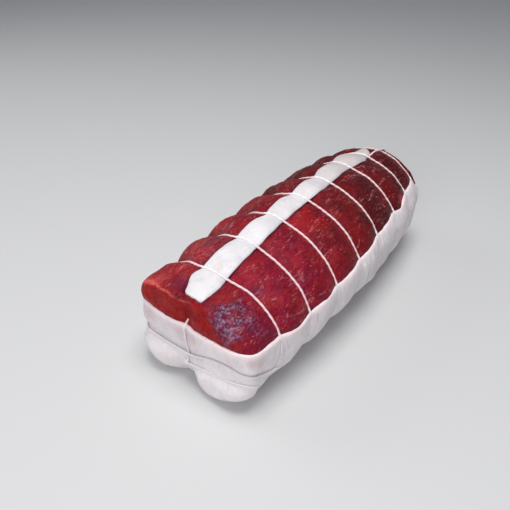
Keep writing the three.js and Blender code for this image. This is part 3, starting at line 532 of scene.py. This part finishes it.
# ---- meshes ----
LAST_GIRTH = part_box(f"hoop_string_{len(HOOP_PLACES)}")  # it lies straight across the joint
AXIS_SHIFT = np.array([0, (LAST_GIRTH[0][1] + LAST_GIRTH[1][1]) / 2 * 1000 - HOOP_PLACES[-1], 0])


def to_row(points):
    return (np.asarray(points) + AXIS_SHIFT) / 1000


def link(name, data):
    """A new object of the scene."""
    item = bpy.data.objects.new(name, data)
    bpy.context.scene.collection.objects.link(item)
    return item


class Body:
    """Points and faces of one closed mesh, gathered sheet by sheet."""

    def __init__(self):
        self.points = []
        self.faces = []
        self.count = 0

    def add(self, points):
        points = np.asarray(points, float).reshape(-1, 3)
        self.points.append(points)
        start = self.count
        self.count += len(points)
        return np.arange(start, self.count)

    def quads(self, a, b, c, d):
        self.faces += np.stack([a, b, c, d], -1).reshape(-1, 4).tolist()

    def fan(self, hub, rim, flipped):
        a, b = (rim[1:], rim[:-1]) if flipped else (rim[:-1], rim[1:])
        self.faces += np.stack([np.broadcast_to(hub, np.shape(a)), a, b], -1).tolist()

    def grid(self, rows, flipped=False):
        a, b, c, d = rows[:-1, :-1], rows[1:, :-1], rows[1:, 1:], rows[:-1, 1:]
        self.quads(*((a, d, c, b) if flipped else (a, b, c, d)))

    def bridge(self, a, b):
        """Faces between two closed loops."""
        self.quads(a, b, np.roll(b, -1), np.roll(a, -1))

    def all_points(self):
        return np.concatenate(self.points)


def make_piece(name, body, material, nodes, masks_of=None):
    points = body.all_points()
    mesh = bpy.data.meshes.new(name)
    mesh.from_pydata(to_row(points).tolist(), [], body.faces, shade_flat=False)
    for mask, values in (masks_of(points) if masks_of else {}).items():
        mesh.attributes.new(mask, "FLOAT", "POINT").data.foreach_set("value", values.astype(np.float32))
    mesh.update()
    piece = link(name, mesh)
    mesh.materials.append(material)
    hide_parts(*nodes)
    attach(piece, "root")


def add_sheet(body, turns_of, columns, skin, depth=None, flipped=False, fine=True):
    """Adds a sheet of skin through all rings and returns its edges and its normals."""
    plain = [plain_points(ring, turns_of(ring, columns)) for ring in RINGS]
    at, out = (np.concatenate(v) for v in zip(*plain, face_pole(FRONT), face_pole(BACK)))
    inward = depth(at) if depth else np.zeros(len(at))
    where = body.add(skin_points(at, out, skin, inward, fine))
    rows = where[:-2].reshape(len(RINGS), columns + 1)
    front, back = where[-2], where[-1]
    body.grid(rows, flipped)
    body.fan(front, rows[0], flipped)
    body.fan(back, rows[-1], not flipped)
    return dict(front=front, back=back, first=rows[:, 0], last=rows[:, -1], start=where[0], out=out)


def edge_loop(edges, there="last", homeward="first"):
    return np.concatenate([[edges["front"]], edges[there], [edges["back"]], edges[homeward][::-1]])


def fat_thickness(at):
    from_end = np.minimum(at[..., 1] - FRONT_FACE, BACK_FACE - at[..., 1])
    return mix(FAT.ends, FAT.body, ramp(*FAT.span, from_end))


RINGS = ring_list(RING_SPACING, EDGE_STEPS, FACE_STEPS)


def meat_body():
    body = Body()
    hidden = lambda at: fat_thickness(at) + HIDDEN_GAP
    opened = add_sheet(body, exposed_turns, MEAT_COLUMNS, "meat")
    covered = add_sheet(body, wrapped_turns, INNER_COLUMNS, "fat", hidden, fine=False)
    body.bridge(edge_loop(covered), edge_loop(opened, "first", "last"))
    return body


def wrap_body():
    """The wrap: its outside, its rounded upper edge and its inside."""
    body = Body()
    outside = add_sheet(body, wrapped_turns, WRAP_COLUMNS, "fat")
    inside = add_sheet(body, wrapped_turns, INNER_COLUMNS, "fat", fat_thickness, flipped=True, fine=False)
    outer, inner = edge_loop(outside), edge_loop(inside)
    start, normals = body.all_points()[outer], outside["out"][outer - outside["start"]]
    forward = unit(np.roll(start, -1, 0) - np.roll(start, 1, 0))
    upward = unit(np.cross(forward, normals))
    upward *= np.sign(upward[:, 2:3])
    loops = [outer]
    for step in range(1, LIP_STEPS + 1):
        angle = step / LIP_STEPS * pi
        lip = start - normals * LIP_RADIUS * (1 - math.cos(angle)) + upward * LIP_RADIUS * math.sin(angle)
        loops.append(body.add(lip))
    loops.append(inner)
    for a, b in zip(loops, loops[1:]):
        body.bridge(b, a)
    return body


# ---- the fat strip ----
def strip_loop(y, sides):
    """The strip's cross-section at a place along the crest."""
    angle = np.arange(sides) / sides * 2 * pi
    from_end = max(0.0, min(y - STRIP.front, STRIP.back - y))
    end = STRIP_ROUNDING.front if y < 0 else STRIP_ROUNDING.back
    rounding = math.sqrt(1 - (1 - min(1, (from_end + STRIP_ROUNDING.blunt) / end)) ** 2)
    half = strip_half_width(y) * rounding
    half_thickness = STRIP.thickness / 2 * (1 - STRIP_ROUNDING.thinning * pinch(y))
    middle = strip_middle(y)
    x = middle + half * np.sign(np.cos(angle)) * np.abs(np.cos(angle)) ** STRIP_ROUNDING.power
    place = y + strip_slant(y) * (x - middle)
    at, out = plain_points(dict(y=place), turn_over(place, x))
    centred = at.copy()
    centred[:, 0] = middle
    height = relief(centred, out, "meat") + STRIP.thickness / 2 - STRIP.bed
    points = at + out * (height + half_thickness * np.sin(angle))[:, None]
    points[:, 1] = place
    points = points + out * uneven(points, STRIP_LAYERS)[:, None]
    wander = fibre(points * [0, 1, 0] + [40, 0, 0], STRIP_EDGE.scale)
    points[:, 0] += STRIP_EDGE.wander * wander * np.cos(angle)
    return points


def loft(body, loops, is_ring=False):
    rows = np.stack([body.add(loop) for loop in loops])
    if is_ring:
        rows = np.concatenate([rows, rows[:1]])
    wrapped = np.concatenate([rows, rows[:, :1]], 1)
    body.grid(wrapped)
    if not is_ring:
        for end in (0, -1):
            body.fan(body.add(np.mean(loops[end], 0))[0], wrapped[end], end == -1)
    return body


def strip_body():
    shares = 0.5 - 0.5 * np.cos(np.linspace(0, pi, STRIP_LOOPS + 1))
    return loft(Body(), [strip_loop(y, STRIP_SIDES) for y in mix(STRIP.front, STRIP.back, shares)])


# ---- the course of a twine ----
TAUT_ROUNDS, LOOSE_ROUNDS = 6, 12  # of smoothing


def path_lengths(at):
    return np.concatenate([[0], np.cumsum(np.linalg.norm(np.diff(at, axis=0), axis=1))])


def even_points(at, lengths, s):
    return np.stack([np.interp(s, lengths, column) for column in at.T], -1)


def smooth_path(at, rounds, closed):
    for _ in range(rounds):
        smooth = (np.roll(at, 1, 0) + 2 * at + np.roll(at, -1, 0)) / 4
        at = smooth if closed else np.concatenate([at[:1], smooth[1:-1], at[-1:]])
    return at


def taut_outline(points):
    """The convex outline round flat points, counter-clockwise."""
    points = sorted(set(map(tuple, np.round(points, 4).tolist())))

    def half(items):
        chain = []
        for p in items:
            while len(chain) > 1:
                a, b = chain[-2:]
                if (b[0] - a[0]) * (p[1] - a[1]) - (b[1] - a[1]) * (p[0] - a[0]) > 0:
                    break
                chain.pop()
            chain.append(p)
        return chain[:-1]

    return np.array(half(points) + half(points[::-1]))


def twine_outline(outline):
    """A twine's middle round an outline: even points and their outward directions."""
    closed = np.concatenate([outline, outline[:1]])
    lengths = path_lengths(closed)
    count = round(lengths[-1] / STRING_STEP)
    even = even_points(closed, lengths, np.linspace(0, lengths[-1], count, endpoint=False))
    even = smooth_path(even, TAUT_ROUNDS, True)
    forward = unit(np.roll(even, -1, 0) - np.roll(even, 1, 0))
    normal = np.stack([forward[:, 1], -forward[:, 0]], -1)
    return even + normal * LIE, normal


LIE = STRING_RADIUS * 0.72  # a twine's middle stands this far off the skin
LIE_IN_FAT = -0.25  # and this far off the wrap's, into which it sinks
LOW_LIE = Sizes(depth=0.6, rise_span=(2, 18), side_span=(0, 20))  # deeper low on the right flank
FAT_SPAN = (-3, 2)  # heights above the rim over which a twine leaves the wrap
TABLE_LIE = STRING_RADIUS * 1.05
STRIP_MARGIN = 3  # beside the strip a taut twine doesn't reach the lean meat
TOUCH_COLUMNS = 120
TOUCH_SIDES = 60


def hoop_path(index):
    """A girth twine drawn tight round the strip, the lean meat and the wrap."""
    y = HOOP_PLACES[index]
    touched = []
    for skin, turns_of in (("meat", exposed_turns), ("fat", wrapped_turns)):
        at, out = plain_points(dict(y=y), turns_of(dict(y=y), TOUCH_COLUMNS))
        points = skin_points(at, out, skin)
        touched.append(points if skin == "fat" else points[beside_strip(points) > STRIP_MARGIN])
    if y < STRIP.back:
        touched.append(strip_loop(y, TOUCH_SIDES))
    even, normal = twine_outline(taut_outline(np.concatenate(touched)[:, [0, 2]]))
    above = even[:, 1] - rim_height(y)
    in_fat = fade(*FAT_SPAN, above)
    low = (1 - in_fat) * fade(*LOW_LIE.rise_span, above) * ramp(*LOW_LIE.side_span, even[:, 0])
    even = even - normal * ((LIE - LIE_IN_FAT) * in_fat + LOW_LIE.depth * low)[:, None]
    height = np.maximum(even[:, 1], TABLE_LIE)
    at = np.stack([even[:, 0], y + hoop_shift(even[:, 0], y), height], -1)
    return at, np.stack([normal[:, 0], np.zeros(len(normal)), normal[:, 1]], -1)


UP = pi / 2
LINK = Sizes(turn=UP - 0.11, start=77.5, hump=1.6, hump_width=4)  # the twine behind the strip
OVER_SKIN = LIE + 0.15  # the same for the lengthwise twine
SUNK = Sizes(depth=2.8, above_rim=3, face_depth=8)  # the cleft closes over it above the wrap
TWINE_START = 1.2  # from the strip's front end back to the twine's end below it


def lengthwise_path():
    """From the strip's front end down the cleft, along the keel and up to the strip's back end."""
    rings = ring_list(spacing=3, edge_steps=6, face_steps=10)
    place = lambda ring, turn: plain_points(ring, np.array([turn]))[0][0, 1]

    def lay(ring, turn, skin):
        at, out = plain_points(ring, np.array([turn]))
        in_cleft = at[0, 1] < FRONT_FACE + SUNK.face_depth and at[0, 2] > RIM.front + SUNK.above_rim
        return skin_points(at, out, skin, np.array([SUNK.depth if in_cleft else -OVER_SKIN]))[0], out[0]

    def pole(end):
        at, out = face_pole(end)
        return skin_points(at, out, "fat", np.array([-OVER_SKIN]))[0], out[0]

    back = rings[::-1]
    front_top = [lay(ring, UP, "meat") for ring in back if place(ring, UP) < STRIP.front + TWINE_START]
    back_top = [lay(ring, LINK.turn, "meat") for ring in back if place(ring, LINK.turn) > LINK.start]
    for at, _ in back_top:  # it passes over the last girth twine
        at[2] += LINK.hump * bell(at[1] - LAST_HOOP, LINK.hump_width)
    under = [lay(ring, wrapped_turns(ring, 2)[1], "fat") for ring in rings]
    corners = [*front_top, pole(FRONT), *under, pole(BACK), *back_top]
    at, out = (np.array(column) for column in zip(*corners))
    lengths = path_lengths(at)
    s = np.linspace(0, lengths[-1], round(lengths[-1] / STRING_STEP) + 1)
    at, out = even_points(at, lengths, s), even_points(out, lengths, s)
    return smooth_path(at, LOOSE_ROUNDS, False), unit(out)


def crossing(at, height, side):
    """Where a path passes a height on its way down the front (side -1) or up the back (side 1)."""
    passed = side * (at[:, 2] - height) > 0
    i = int(np.nonzero(passed[1:] & ~passed[:-1])[0][0])
    t = (height - at[i, 2]) / (at[i + 1, 2] - at[i, 2])
    return mix(at[i], at[i + 1], t)


KNOT = Sizes(height=20, lobe=0.5, proud=0.9, depth=1.1, points=90, tilt=0.6)


def knot_path(lengthwise):
    """A trefoil of twine over the place where the front twines meet."""
    middle = crossing(lengthwise, KNOT.height, -1) + np.array([0, -KNOT.proud, 0])
    t = np.linspace(0, 2 * pi, KNOT.points, endpoint=False)
    reach = KNOT.lobe * (2 + np.cos(3 * t))
    deep = -KNOT.depth * KNOT.lobe * np.sin(3 * t)
    at = np.stack([reach * np.cos(2 * t), deep, reach * np.sin(2 * t)], -1)
    return middle + at, unit(at * [1, 0, 1] + [0, -KNOT.tilt, 0])


BELT_END = 2.5  # from a belt's ends to the middle of the girth twine
BELT_RAYS = Sizes(count=181, widest=1.9, distance=220)  # they feel for the wrap from outside
BEHIND_HOOP = 0.3
LOW_BELT_START = -2
LOW_RISE = Sizes(height=4.2, span=(0.75, 1.3), dip=2, dip_bearing=0.7, dip_width=0.35)
LOW_SINK = Sizes(depth=2.6, span=(1.24, 1.36))


def belt_path(end, belt, skin_tree, lengthwise):
    """A twine drawn tight round one end of the wrap, over the lengthwise one."""
    hoop, side = end.hoop, end.side
    start_x = LOW_BELT_START if belt is LOW_BELT else -math.inf
    past_hoop = lambda x, y: side * (y - hoop - hoop_shift(x, hoop))
    felt = []
    for bearing in np.linspace(-BELT_RAYS.widest, BELT_RAYS.widest, BELT_RAYS.count):
        out = Vector((math.sin(bearing), side * math.cos(bearing), 0))
        height = belt_height(belt, hoop, out.x, hoop + out.y)
        reach = []
        for rise in (-STRING_RADIUS, 0, STRING_RADIUS):
            hit = skin_tree.ray_cast(Vector((0, hoop, height + rise)) + out * BELT_RAYS.distance, -out)
            if hit[0] is not None:
                reach.append((hit[0] - Vector((0, hoop, 0))).dot(out))
        x, y = out.x * max(reach), hoop + out.y * max(reach)
        if x > start_x and past_hoop(x, y) > BEHIND_HOOP:
            felt.append((x, y))
    over = crossing(lengthwise, belt.middle, side)
    felt.append((over[0], over[1] + side * STRING_RADIUS))
    even, normal = twine_outline(taut_outline(np.array(felt)))
    kept = (past_hoop(even[:, 0], even[:, 1]) > BELT_END) & (even[:, 0] > start_x)
    first = int(np.nonzero(kept & ~np.roll(kept, 1))[0][0])
    even, normal, kept = (np.roll(v, -first, 0) for v in (even, normal, kept))
    even, normal = even[kept], normal[kept]
    z = belt_height(belt, hoop, even[:, 0], even[:, 1])
    if belt is LOW_BELT:  # it rises late, and beyond the corner it sinks into the fat
        bearing = np.arctan2(even[:, 0], np.abs(even[:, 1] - hoop))
        dip = LOW_RISE.dip * bell(bearing - LOW_RISE.dip_bearing, LOW_RISE.dip_width)
        z = z + LOW_RISE.height * ramp(*LOW_RISE.span, bearing) - dip
        even = even - normal * (LOW_SINK.depth * ramp(*LOW_SINK.span, bearing))[:, None]
    return np.column_stack([even, z]), np.column_stack([normal, np.zeros(len(normal))])


# ---- twine ----
PLIES = 3
TWIST = 4.2  # length in which the plies turn once
PLY_WAIST, PLY_SWELL = 0.74, 0.3  # shares of the radius


def twine_loops(at, out, closed):
    """Cross-sections of a twisted twine along a path."""
    forward = unit(np.roll(at, -1, 0) - np.roll(at, 1, 0) if closed else np.gradient(at, axis=0))
    side = unit(out - forward * (out * forward).sum(-1, keepdims=True))
    across = np.cross(side, forward)
    lengths = path_lengths(at)
    turns = max(1, round(lengths[-1] / TWIST))
    angle = np.arange(STRING_SIDES) / STRING_SIDES * 2 * pi
    roll = lengths / lengths[-1] * turns * 2 * pi / PLIES
    ply = np.abs(np.cos((angle - roll[:, None]) * PLIES / 2))
    r = STRING_RADIUS * (PLY_WAIST + PLY_SWELL * ply)
    axes = ((side, np.cos(angle)), (across, np.sin(angle)))
    return at[:, None] + sum(axis[:, None] * (r * share)[..., None] for axis, share in axes)


def make_twine(name, path, closed, node, knot=None):
    body = loft(Body(), twine_loops(*path, closed), closed)
    if knot:
        loft(body, twine_loops(*knot, True), True)
    make_piece(name, body, TWINE, [node], twine_masks)


# ---- materials ----
class Tree:
    """A short way to write a node material. Its colour is painted layer by layer."""

    def __init__(self, name):
        self.material = bpy.data.materials.new(name)
        self.material.use_nodes = True
        tree = self.material.node_tree
        self.nodes, self.links = tree.nodes, tree.links
        self.shader = self.nodes["Principled BSDF"]
        self.place = self.node("TexCoord").outputs["Object"]
        self.colour = None

    def node(self, kind, inputs=None, **settings):
        node = self.nodes.new("ShaderNode" + kind)
        for key, value in settings.items():
            setattr(node, key, value)
        for key, value in (inputs or {}).items():
            self.feed(node.inputs[key], value)
        return node

    def feed(self, socket, value):
        if isinstance(value, bpy.types.NodeSocket):
            self.links.new(value, socket)
        else:
            socket.default_value = value

    def math(self, operation, *values):
        node = self.node("Math", operation=operation)
        for socket, value in zip(node.inputs, values):
            self.feed(socket, value)
        return node.outputs[0]

    def product(self, *values):
        result = values[0]
        for value in values[1:]:
            result = self.math("MULTIPLY", result, value)
        return result

    def noise(self, scale, detail=3.0, roughness=0.5, stretch=(1, 1, 1), distortion=0.0, shift=(0, 0, 0)):
        mapped = self.node("Mapping", {"Vector": self.place, "Scale": stretch, "Location": shift})
        sockets = {
            "Vector": mapped.outputs[0], "Scale": scale, "Detail": detail,
            "Roughness": roughness, "Distortion": distortion,
        }
        return self.node("TexNoise", sockets).outputs["Fac"]

    def step(self, value, low, high):
        sockets = {"Value": value, "From Min": low, "From Max": high}
        return self.node("MapRange", sockets, interpolation_type="SMOOTHSTEP").outputs[0]

    def blend(self, factor, a, b):
        node = self.node("Mix", data_type="RGBA")
        for i, value in ((0, factor), (6, a), (7, b)):
            self.feed(node.inputs[i], (*value, 1.0) if isinstance(value, tuple) else value)
        return node.outputs[2]

    def paint(self, over, *factors):
        """A colour over the colour so far, by the product of the factors."""
        self.colour = self.blend(self.product(*factors), self.colour, over)

    def near(self, centre, radius, stretch=(1, 1, 1)):
        """1 at a place of the joint, falling to 0 at a radius."""
        offset = self.node("VectorMath", {0: self.place, 1: to_row(centre)}, operation="SUBTRACT")
        scaled = self.node("VectorMath", {0: offset.outputs[0], 1: stretch}, operation="MULTIPLY")
        length = self.node("VectorMath", {0: scaled.outputs[0]}, operation="LENGTH")
        return self.step(length.outputs["Value"], radius / 1000, 0.0)

    def mask(self, name):
        return self.node("Attribute", attribute_name=name).outputs["Fac"]

    def bump(self, height, strength, distance, **under):
        sockets = {"Height": height, "Strength": strength, "Distance": distance, **under}
        return self.node("Bump", sockets).outputs[0]

    def finish(self, **sockets):
        """Feeds the shader its colour and the sockets named here, with _ for a space."""
        for name, value in dict(Base_Color=self.colour, **sockets).items():
            self.feed(self.shader.inputs[name.replace("_", " ")], value)
        return self.material


# Places of the lean meat with a look of their own.
SHIMMER = (25, -120, 66.5)  # in front of girth string 1, right of the strip
MARBLED = (28, -28, 81)
STRIP_SHADE = (-11, -121, 75)  # left of the strip's front end
RED_SPOT = (40.7, 65.6, 64.7)
HOLLOW_SHADE = (-3.0, 88.6, 80.5)  # painted shade in a hollow behind the strip
SHEEN = (-22, -92, 76)  # left of the strip behind girth string 1

BEEF = Sizes(
    deep=(0.165, 0.006, 0.013), bright=(0.315, 0.009, 0.013), crimson=(0.235, 0.009, 0.03),
    bluish=(0.135, 0.013, 0.045), brick=(0.25, 0.022, 0.014), scarlet=(0.33, 0.008, 0.01),
    far_dark=(0.045, 0.008, 0.008), far_light=(0.1, 0.007, 0.007),
    cut_orange=(0.33, 0.012, 0.005), cut_red=(0.3, 0.006, 0.008), cut_edge=(0.7, 0.13, 0.12),
    purple=(0.085, 0.012, 0.048), lilac=(0.34, 0.24, 0.36), shade=(0.11, 0.013, 0.055),
    lighter=(0.4, 0.03, 0.04), darker=(0.085, 0.005, 0.012),
    light_fibre=(0.52, 0.045, 0.055), dark_fibre=(0.06, 0.003, 0.01),
    fleck=(0.62, 0.24, 0.25), vein=(0.6, 0.2, 0.22), seam=(0.075, 0.006, 0.022),
    spot=(0.45, 0.03, 0.045), hollow=(0.02, 0.002, 0.004), sheen=(0.55, 0.2, 0.24),
)
WRAP_TINT, STRIP_TINT = (0.7, 0.655, 0.67), (0.66, 0.64, 0.655)
LARD = Sizes(
    blush=(0.62, 0.47, 0.44), dull=(0.5, 0.43, 0.44), white=(0.9, 0.85, 0.86),
    soaked=(0.52, 0.33, 0.36), rim=(0.92, 0.76, 0.78), far=(0.56, 0.5, 0.49),
)
COTTON = Sizes(
    dark=(0.74, 0.7, 0.71), light=(0.94, 0.92, 0.93), soaked_dark=(0.74, 0.42, 0.44),
    soaked_light=(0.96, 0.68, 0.7), fatty=(0.68, 0.63, 0.65),
)


def meat_material():
    t = Tree("raw_lean_beef")
    axes = t.node("SeparateXYZ", {"Vector": t.place}).outputs
    across, along_joint = axes["X"], axes["Y"]
    cut, off_cut = t.mask("cut"), t.math("SUBTRACT", 1.0, t.mask("cut"))
    broad = t.noise(38, 4, 0.6)
    t.colour = t.blend(t.step(broad, 0.38, 0.62), BEEF.deep, BEEF.bright)
    # crimson and bluish on the right of the front half, maroon towards the far end
    right = t.product(t.step(across, 0.002, 0.022), t.step(along_joint, -0.02, -0.08))
    t.paint(BEEF.crimson, right, 0.7)
    clouds = t.noise(75, 4, 0.6, (1, 0.7, 1), 0.6, (2, 7, 4))
    t.paint(BEEF.bluish, t.step(clouds, 0.46, 0.66), t.math("MULTIPLY_ADD", right, 0.55, 0.08))
    t.paint(BEEF.brick, t.step(clouds, 0.47, 0.36), 0.5)
    far = t.step(along_joint, -0.052, 0.038)
    t.paint(t.blend(t.step(broad, 0.4, 0.6), BEEF.far_dark, BEEF.far_light), far, 0.9)
    # the cut face is orange red, and above it, on the right of the strip, a purple patch carries painted
    # glints of pale lilac
    worn = t.noise(140, 3, 0.6, shift=(2, 1, 3))
    t.paint(t.blend(t.step(worn, 0.35, 0.6), BEEF.cut_orange, BEEF.cut_red), cut, 0.9)
    spots = t.noise(760, 4, 0.66, (1, 0.7, 1), 0.3, (4, 4, 1))
    glint = t.math("MULTIPLY_ADD", t.math("SUBTRACT", worn, 0.5), 0.7, spots)
    ragged = t.math("MULTIPLY_ADD", t.math("SUBTRACT", clouds, 0.5), 1.8, t.near(SHIMMER, 24))
    # painted glints: pale lilac spots over the dark purple patch
    purple = t.blend(t.step(glint, 0.42, 0.72), BEEF.purple, BEEF.lilac)
    t.paint(purple, t.step(ragged, 0.2, 0.85), t.step(worn, 0.3, 0.5), off_cut, 0.95)
    t.paint(BEEF.shade, t.near(STRIP_SHADE, 11), 0.7)
    t.paint(BEEF.scarlet, t.step(across, -0.006, -0.02), t.step(along_joint, -0.088, -0.1), 0.5)
    # lighter and darker patches, fibres and flecks of marbling
    patchy = t.noise(150, 4, 0.6, (1, 0.6, 1), 0.5, (9, 3, 2))
    t.paint(BEEF.lighter, t.step(patchy, 0.5, 0.68), t.math("MULTIPLY_ADD", far, -0.27, 0.35))
    t.paint(BEEF.darker, t.step(patchy, 0.48, 0.32), 0.45)
    grain = t.noise(900, 4, 0.66, (1, 0.45, 1), 0.8)
    t.paint(BEEF.light_fibre, t.step(grain, 0.54, 0.72), 0.55)
    dark = t.noise(700, 3, 0.6, (1, 0.5, 1), 0.4, (7, 2, 5))
    t.paint(BEEF.dark_fibre, t.step(dark, 0.5, 0.36), 0.45)
    patches = t.step(t.noise(50, 3, 0.5, shift=(1, 5, 2)), 0.45, 0.62)
    patches = t.math("MAXIMUM", patches, t.near(MARBLED, 24, (1, 0.55, 1)))
    flecks = t.noise(430, 4, 0.65, (1, 0.4, 0.8), 1.6, (3, 1, 2))
    t.paint(BEEF.fleck, t.step(flecks, 0.6, 0.68), patches, off_cut, 0.7)
    veins = t.noise(300, 4, 0.6, (1, 0.22, 0.6), 0.8, (6, 1, 4))
    t.paint(BEEF.vein, t.step(veins, 0.57, 0.68), t.step(grain, 0.36, 0.6), off_cut, 0.55)
    # painted shade along seams and in a hollow, a painted highlight on the cut's edge, a red spot and a
    # painted sheen
    # painted shade darkens the seams beside the wrap's edge and the strip
    t.paint(BEEF.seam, t.mask("seam"), 0.7)
    # painted highlight along the cut face's upper edge, broken up by spots
    t.paint(BEEF.cut_edge, t.mask("edge"), t.step(spots, 0.3, 0.6))
    t.paint(BEEF.spot, t.near(RED_SPOT, 6))
    # painted shade: near black in the hollow behind the strip
    t.paint(BEEF.hollow, t.step(t.near(HOLLOW_SHADE, 4), 0.2, 0.7))
    t.paint(BEEF.sheen, t.near(SHEEN, 24, (1, 0.5, 1)), t.step(spots, 0.45, 0.66), 0.45)
    fine = t.noise(1500, 3, 0.6, (1, 0.5, 1))
    return t.finish(
        Roughness=t.math("MULTIPLY_ADD", spots, 0.5, 0.2), Specular_IOR_Level=0.07,
        Subsurface_Weight=0.08, Subsurface_Radius=(1.0, 0.15, 0.12), Subsurface_Scale=0.0012,
        Normal=t.bump(fine, 0.5, 0.0003, Normal=t.bump(grain, 0.6, 0.0005)),
    )


def fat_material(name, tint, vein_scale):
    t = Tree(name)
    pale = tuple(min(0.9, v * 1.1) for v in tint)
    t.colour = t.blend(t.step(t.noise(22, 3, 0.5), 0.35, 0.65), tint, pale)
    blush = t.noise(60, 4, 0.6, (1, 1, 0.5), 0.5, (5, 2, 1))
    t.paint(LARD.blush, t.step(blush, 0.54, 0.72), 0.3)
    veins = t.noise(vein_scale, 5, 0.66, (1, 1, 0.4), 0.8, (2, 6, 3))
    t.paint(LARD.dull, t.step(veins, 0.52, 0.7), 0.4)
    t.paint(LARD.white, t.step(veins, 0.46, 0.3), 0.5)
    if tint is WRAP_TINT:
        # pinkish tint with painted shade, darker in a band below the wrap's upper edge on the front
        t.paint(LARD.soaked, t.mask("blush"), t.step(blush, 0.25, 0.6), 0.45)
        # pink tint and painted highlight along the wrap's rounded upper edge
        t.paint(LARD.rim, t.mask("rim"), 0.8)
    else:
        along_joint = t.node("SeparateXYZ", {"Vector": t.place}).outputs["Y"]
        t.paint(LARD.far, t.step(along_joint, -0.02, 0.08))
    lumps = t.bump(t.noise(240, 4, 0.6, (1, 1, 0.45)), 0.6, 0.0009)
    return t.finish(
        Roughness=0.5, Specular_IOR_Level=0.35,
        Subsurface_Weight=0.2, Subsurface_Radius=(1.0, 0.6, 0.5), Subsurface_Scale=0.0015,
        Normal=t.bump(t.noise(1100, 2, 0.5), 0.2, 0.0002, Normal=lumps),
    )


def twine_material():
    t = Tree("cotton_twine")
    fibres = t.noise(2600, 3, 0.6)
    t.colour = t.blend(fibres, COTTON.dark, COTTON.light)
    t.paint(t.blend(fibres, COTTON.soaked_dark, COTTON.soaked_light), t.mask("soaked"), 0.8)
    t.paint(COTTON.fatty, t.mask("fatty"), 0.6)
    return t.finish(Roughness=0.8, Normal=t.bump(fibres, 0.5, 0.0002))


def floor_material():
    t = Tree("pale_floor")
    t.colour = (0.62, 0.62, 0.62, 1)
    return t.finish(Roughness=0.7)


# ---- pieces ----
TWINE = twine_material()
wrap = wrap_body()
make_piece("lean_meat", meat_body(), meat_material(), ["meat"], meat_masks)
wrap_fat = fat_material("wrapping_fat", WRAP_TINT, vein_scale=210)
make_piece("fat_wrapping", wrap, wrap_fat, ["fat_wrap"], fat_masks)
crest_fat = fat_material("crest_fat", STRIP_TINT, vein_scale=60)
make_piece("crest_fat", strip_body(), crest_fat, ["fat_strip"])

for index in range(len(HOOP_PLACES)):
    make_twine(f"girth_twine_{index + 1}", hoop_path(index), True, f"hoop_string_{index + 1}")

wrap_tree = BVHTree.FromPolygons(wrap.all_points().tolist(), wrap.faces)
lengthwise = lengthwise_path()
make_twine("lengthwise_twine", lengthwise, False, "lengthwise_string", knot_path(lengthwise[0]))
BELTS = [("front_belt", FRONT, FRONT_BELT), ("front_low", FRONT, LOW_BELT), ("back_belt", BACK, BACK_BELT)]
for name, end, belt in BELTS:
    path = belt_path(end, belt, wrap_tree, lengthwise[0])
    make_twine(name + "_twine", path, False, name + "_string")

# ---- camera, lights and floor ----
CAMERA_PLACE = np.array([169.08, -286.18, 265.16])
CAMERA_TURN, CAMERA_RISE = math.radians(37.346), math.radians(35.41)
FOCAL_PIXELS, FRAME_PIXELS, SENSOR = 530.57, 510, 36
FLOOR_HALF = 3

camera = link("camera", bpy.data.cameras.new("camera"))
camera.data.sensor_width = SENSOR
camera.data.lens = FOCAL_PIXELS / FRAME_PIXELS * SENSOR
camera.data.clip_start, camera.data.clip_end = 0.01, 20
camera.location = to_row(CAMERA_PLACE)
camera.rotation_euler = (pi / 2 - CAMERA_RISE, 0, CAMERA_TURN)
scene = bpy.context.scene
scene.camera = camera
scene.view_settings.view_transform = "Standard"


def area_light(name, place, size, power):
    """A round light that looks at the joint."""
    light = link(name, bpy.data.lights.new(name, "AREA"))
    light.data.shape, light.data.size, light.data.energy = "DISK", size, power
    light.location = place
    light.rotation_euler = (-Vector(place)).to_track_quat("-Z", "Y").to_euler()


area_light("top_light", (0.1, -0.1, 1.0), 0.5, 7)
area_light("front_light", (0.3, -1.0, 0.5), 0.6, 5)
area_light("left_light", (-0.9, -0.2, 0.7), 0.6, 2)

scene.world = bpy.data.worlds.new("studio")
scene.world.use_nodes = True
background = scene.world.node_tree.nodes["Background"].inputs
background["Color"].default_value = (0.9, 0.92, 1, 1)
background["Strength"].default_value = 0.25

floor_mesh = bpy.data.meshes.new("floor")
corners = [(x * FLOOR_HALF, y * FLOOR_HALF, 0) for x, y in ((-1, -1), (1, -1), (1, 1), (-1, 1))]
floor_mesh.from_pydata(corners, [], [(0, 1, 2, 3)])
floor = link("floor", floor_mesh)
floor_mesh.materials.append(floor_material())
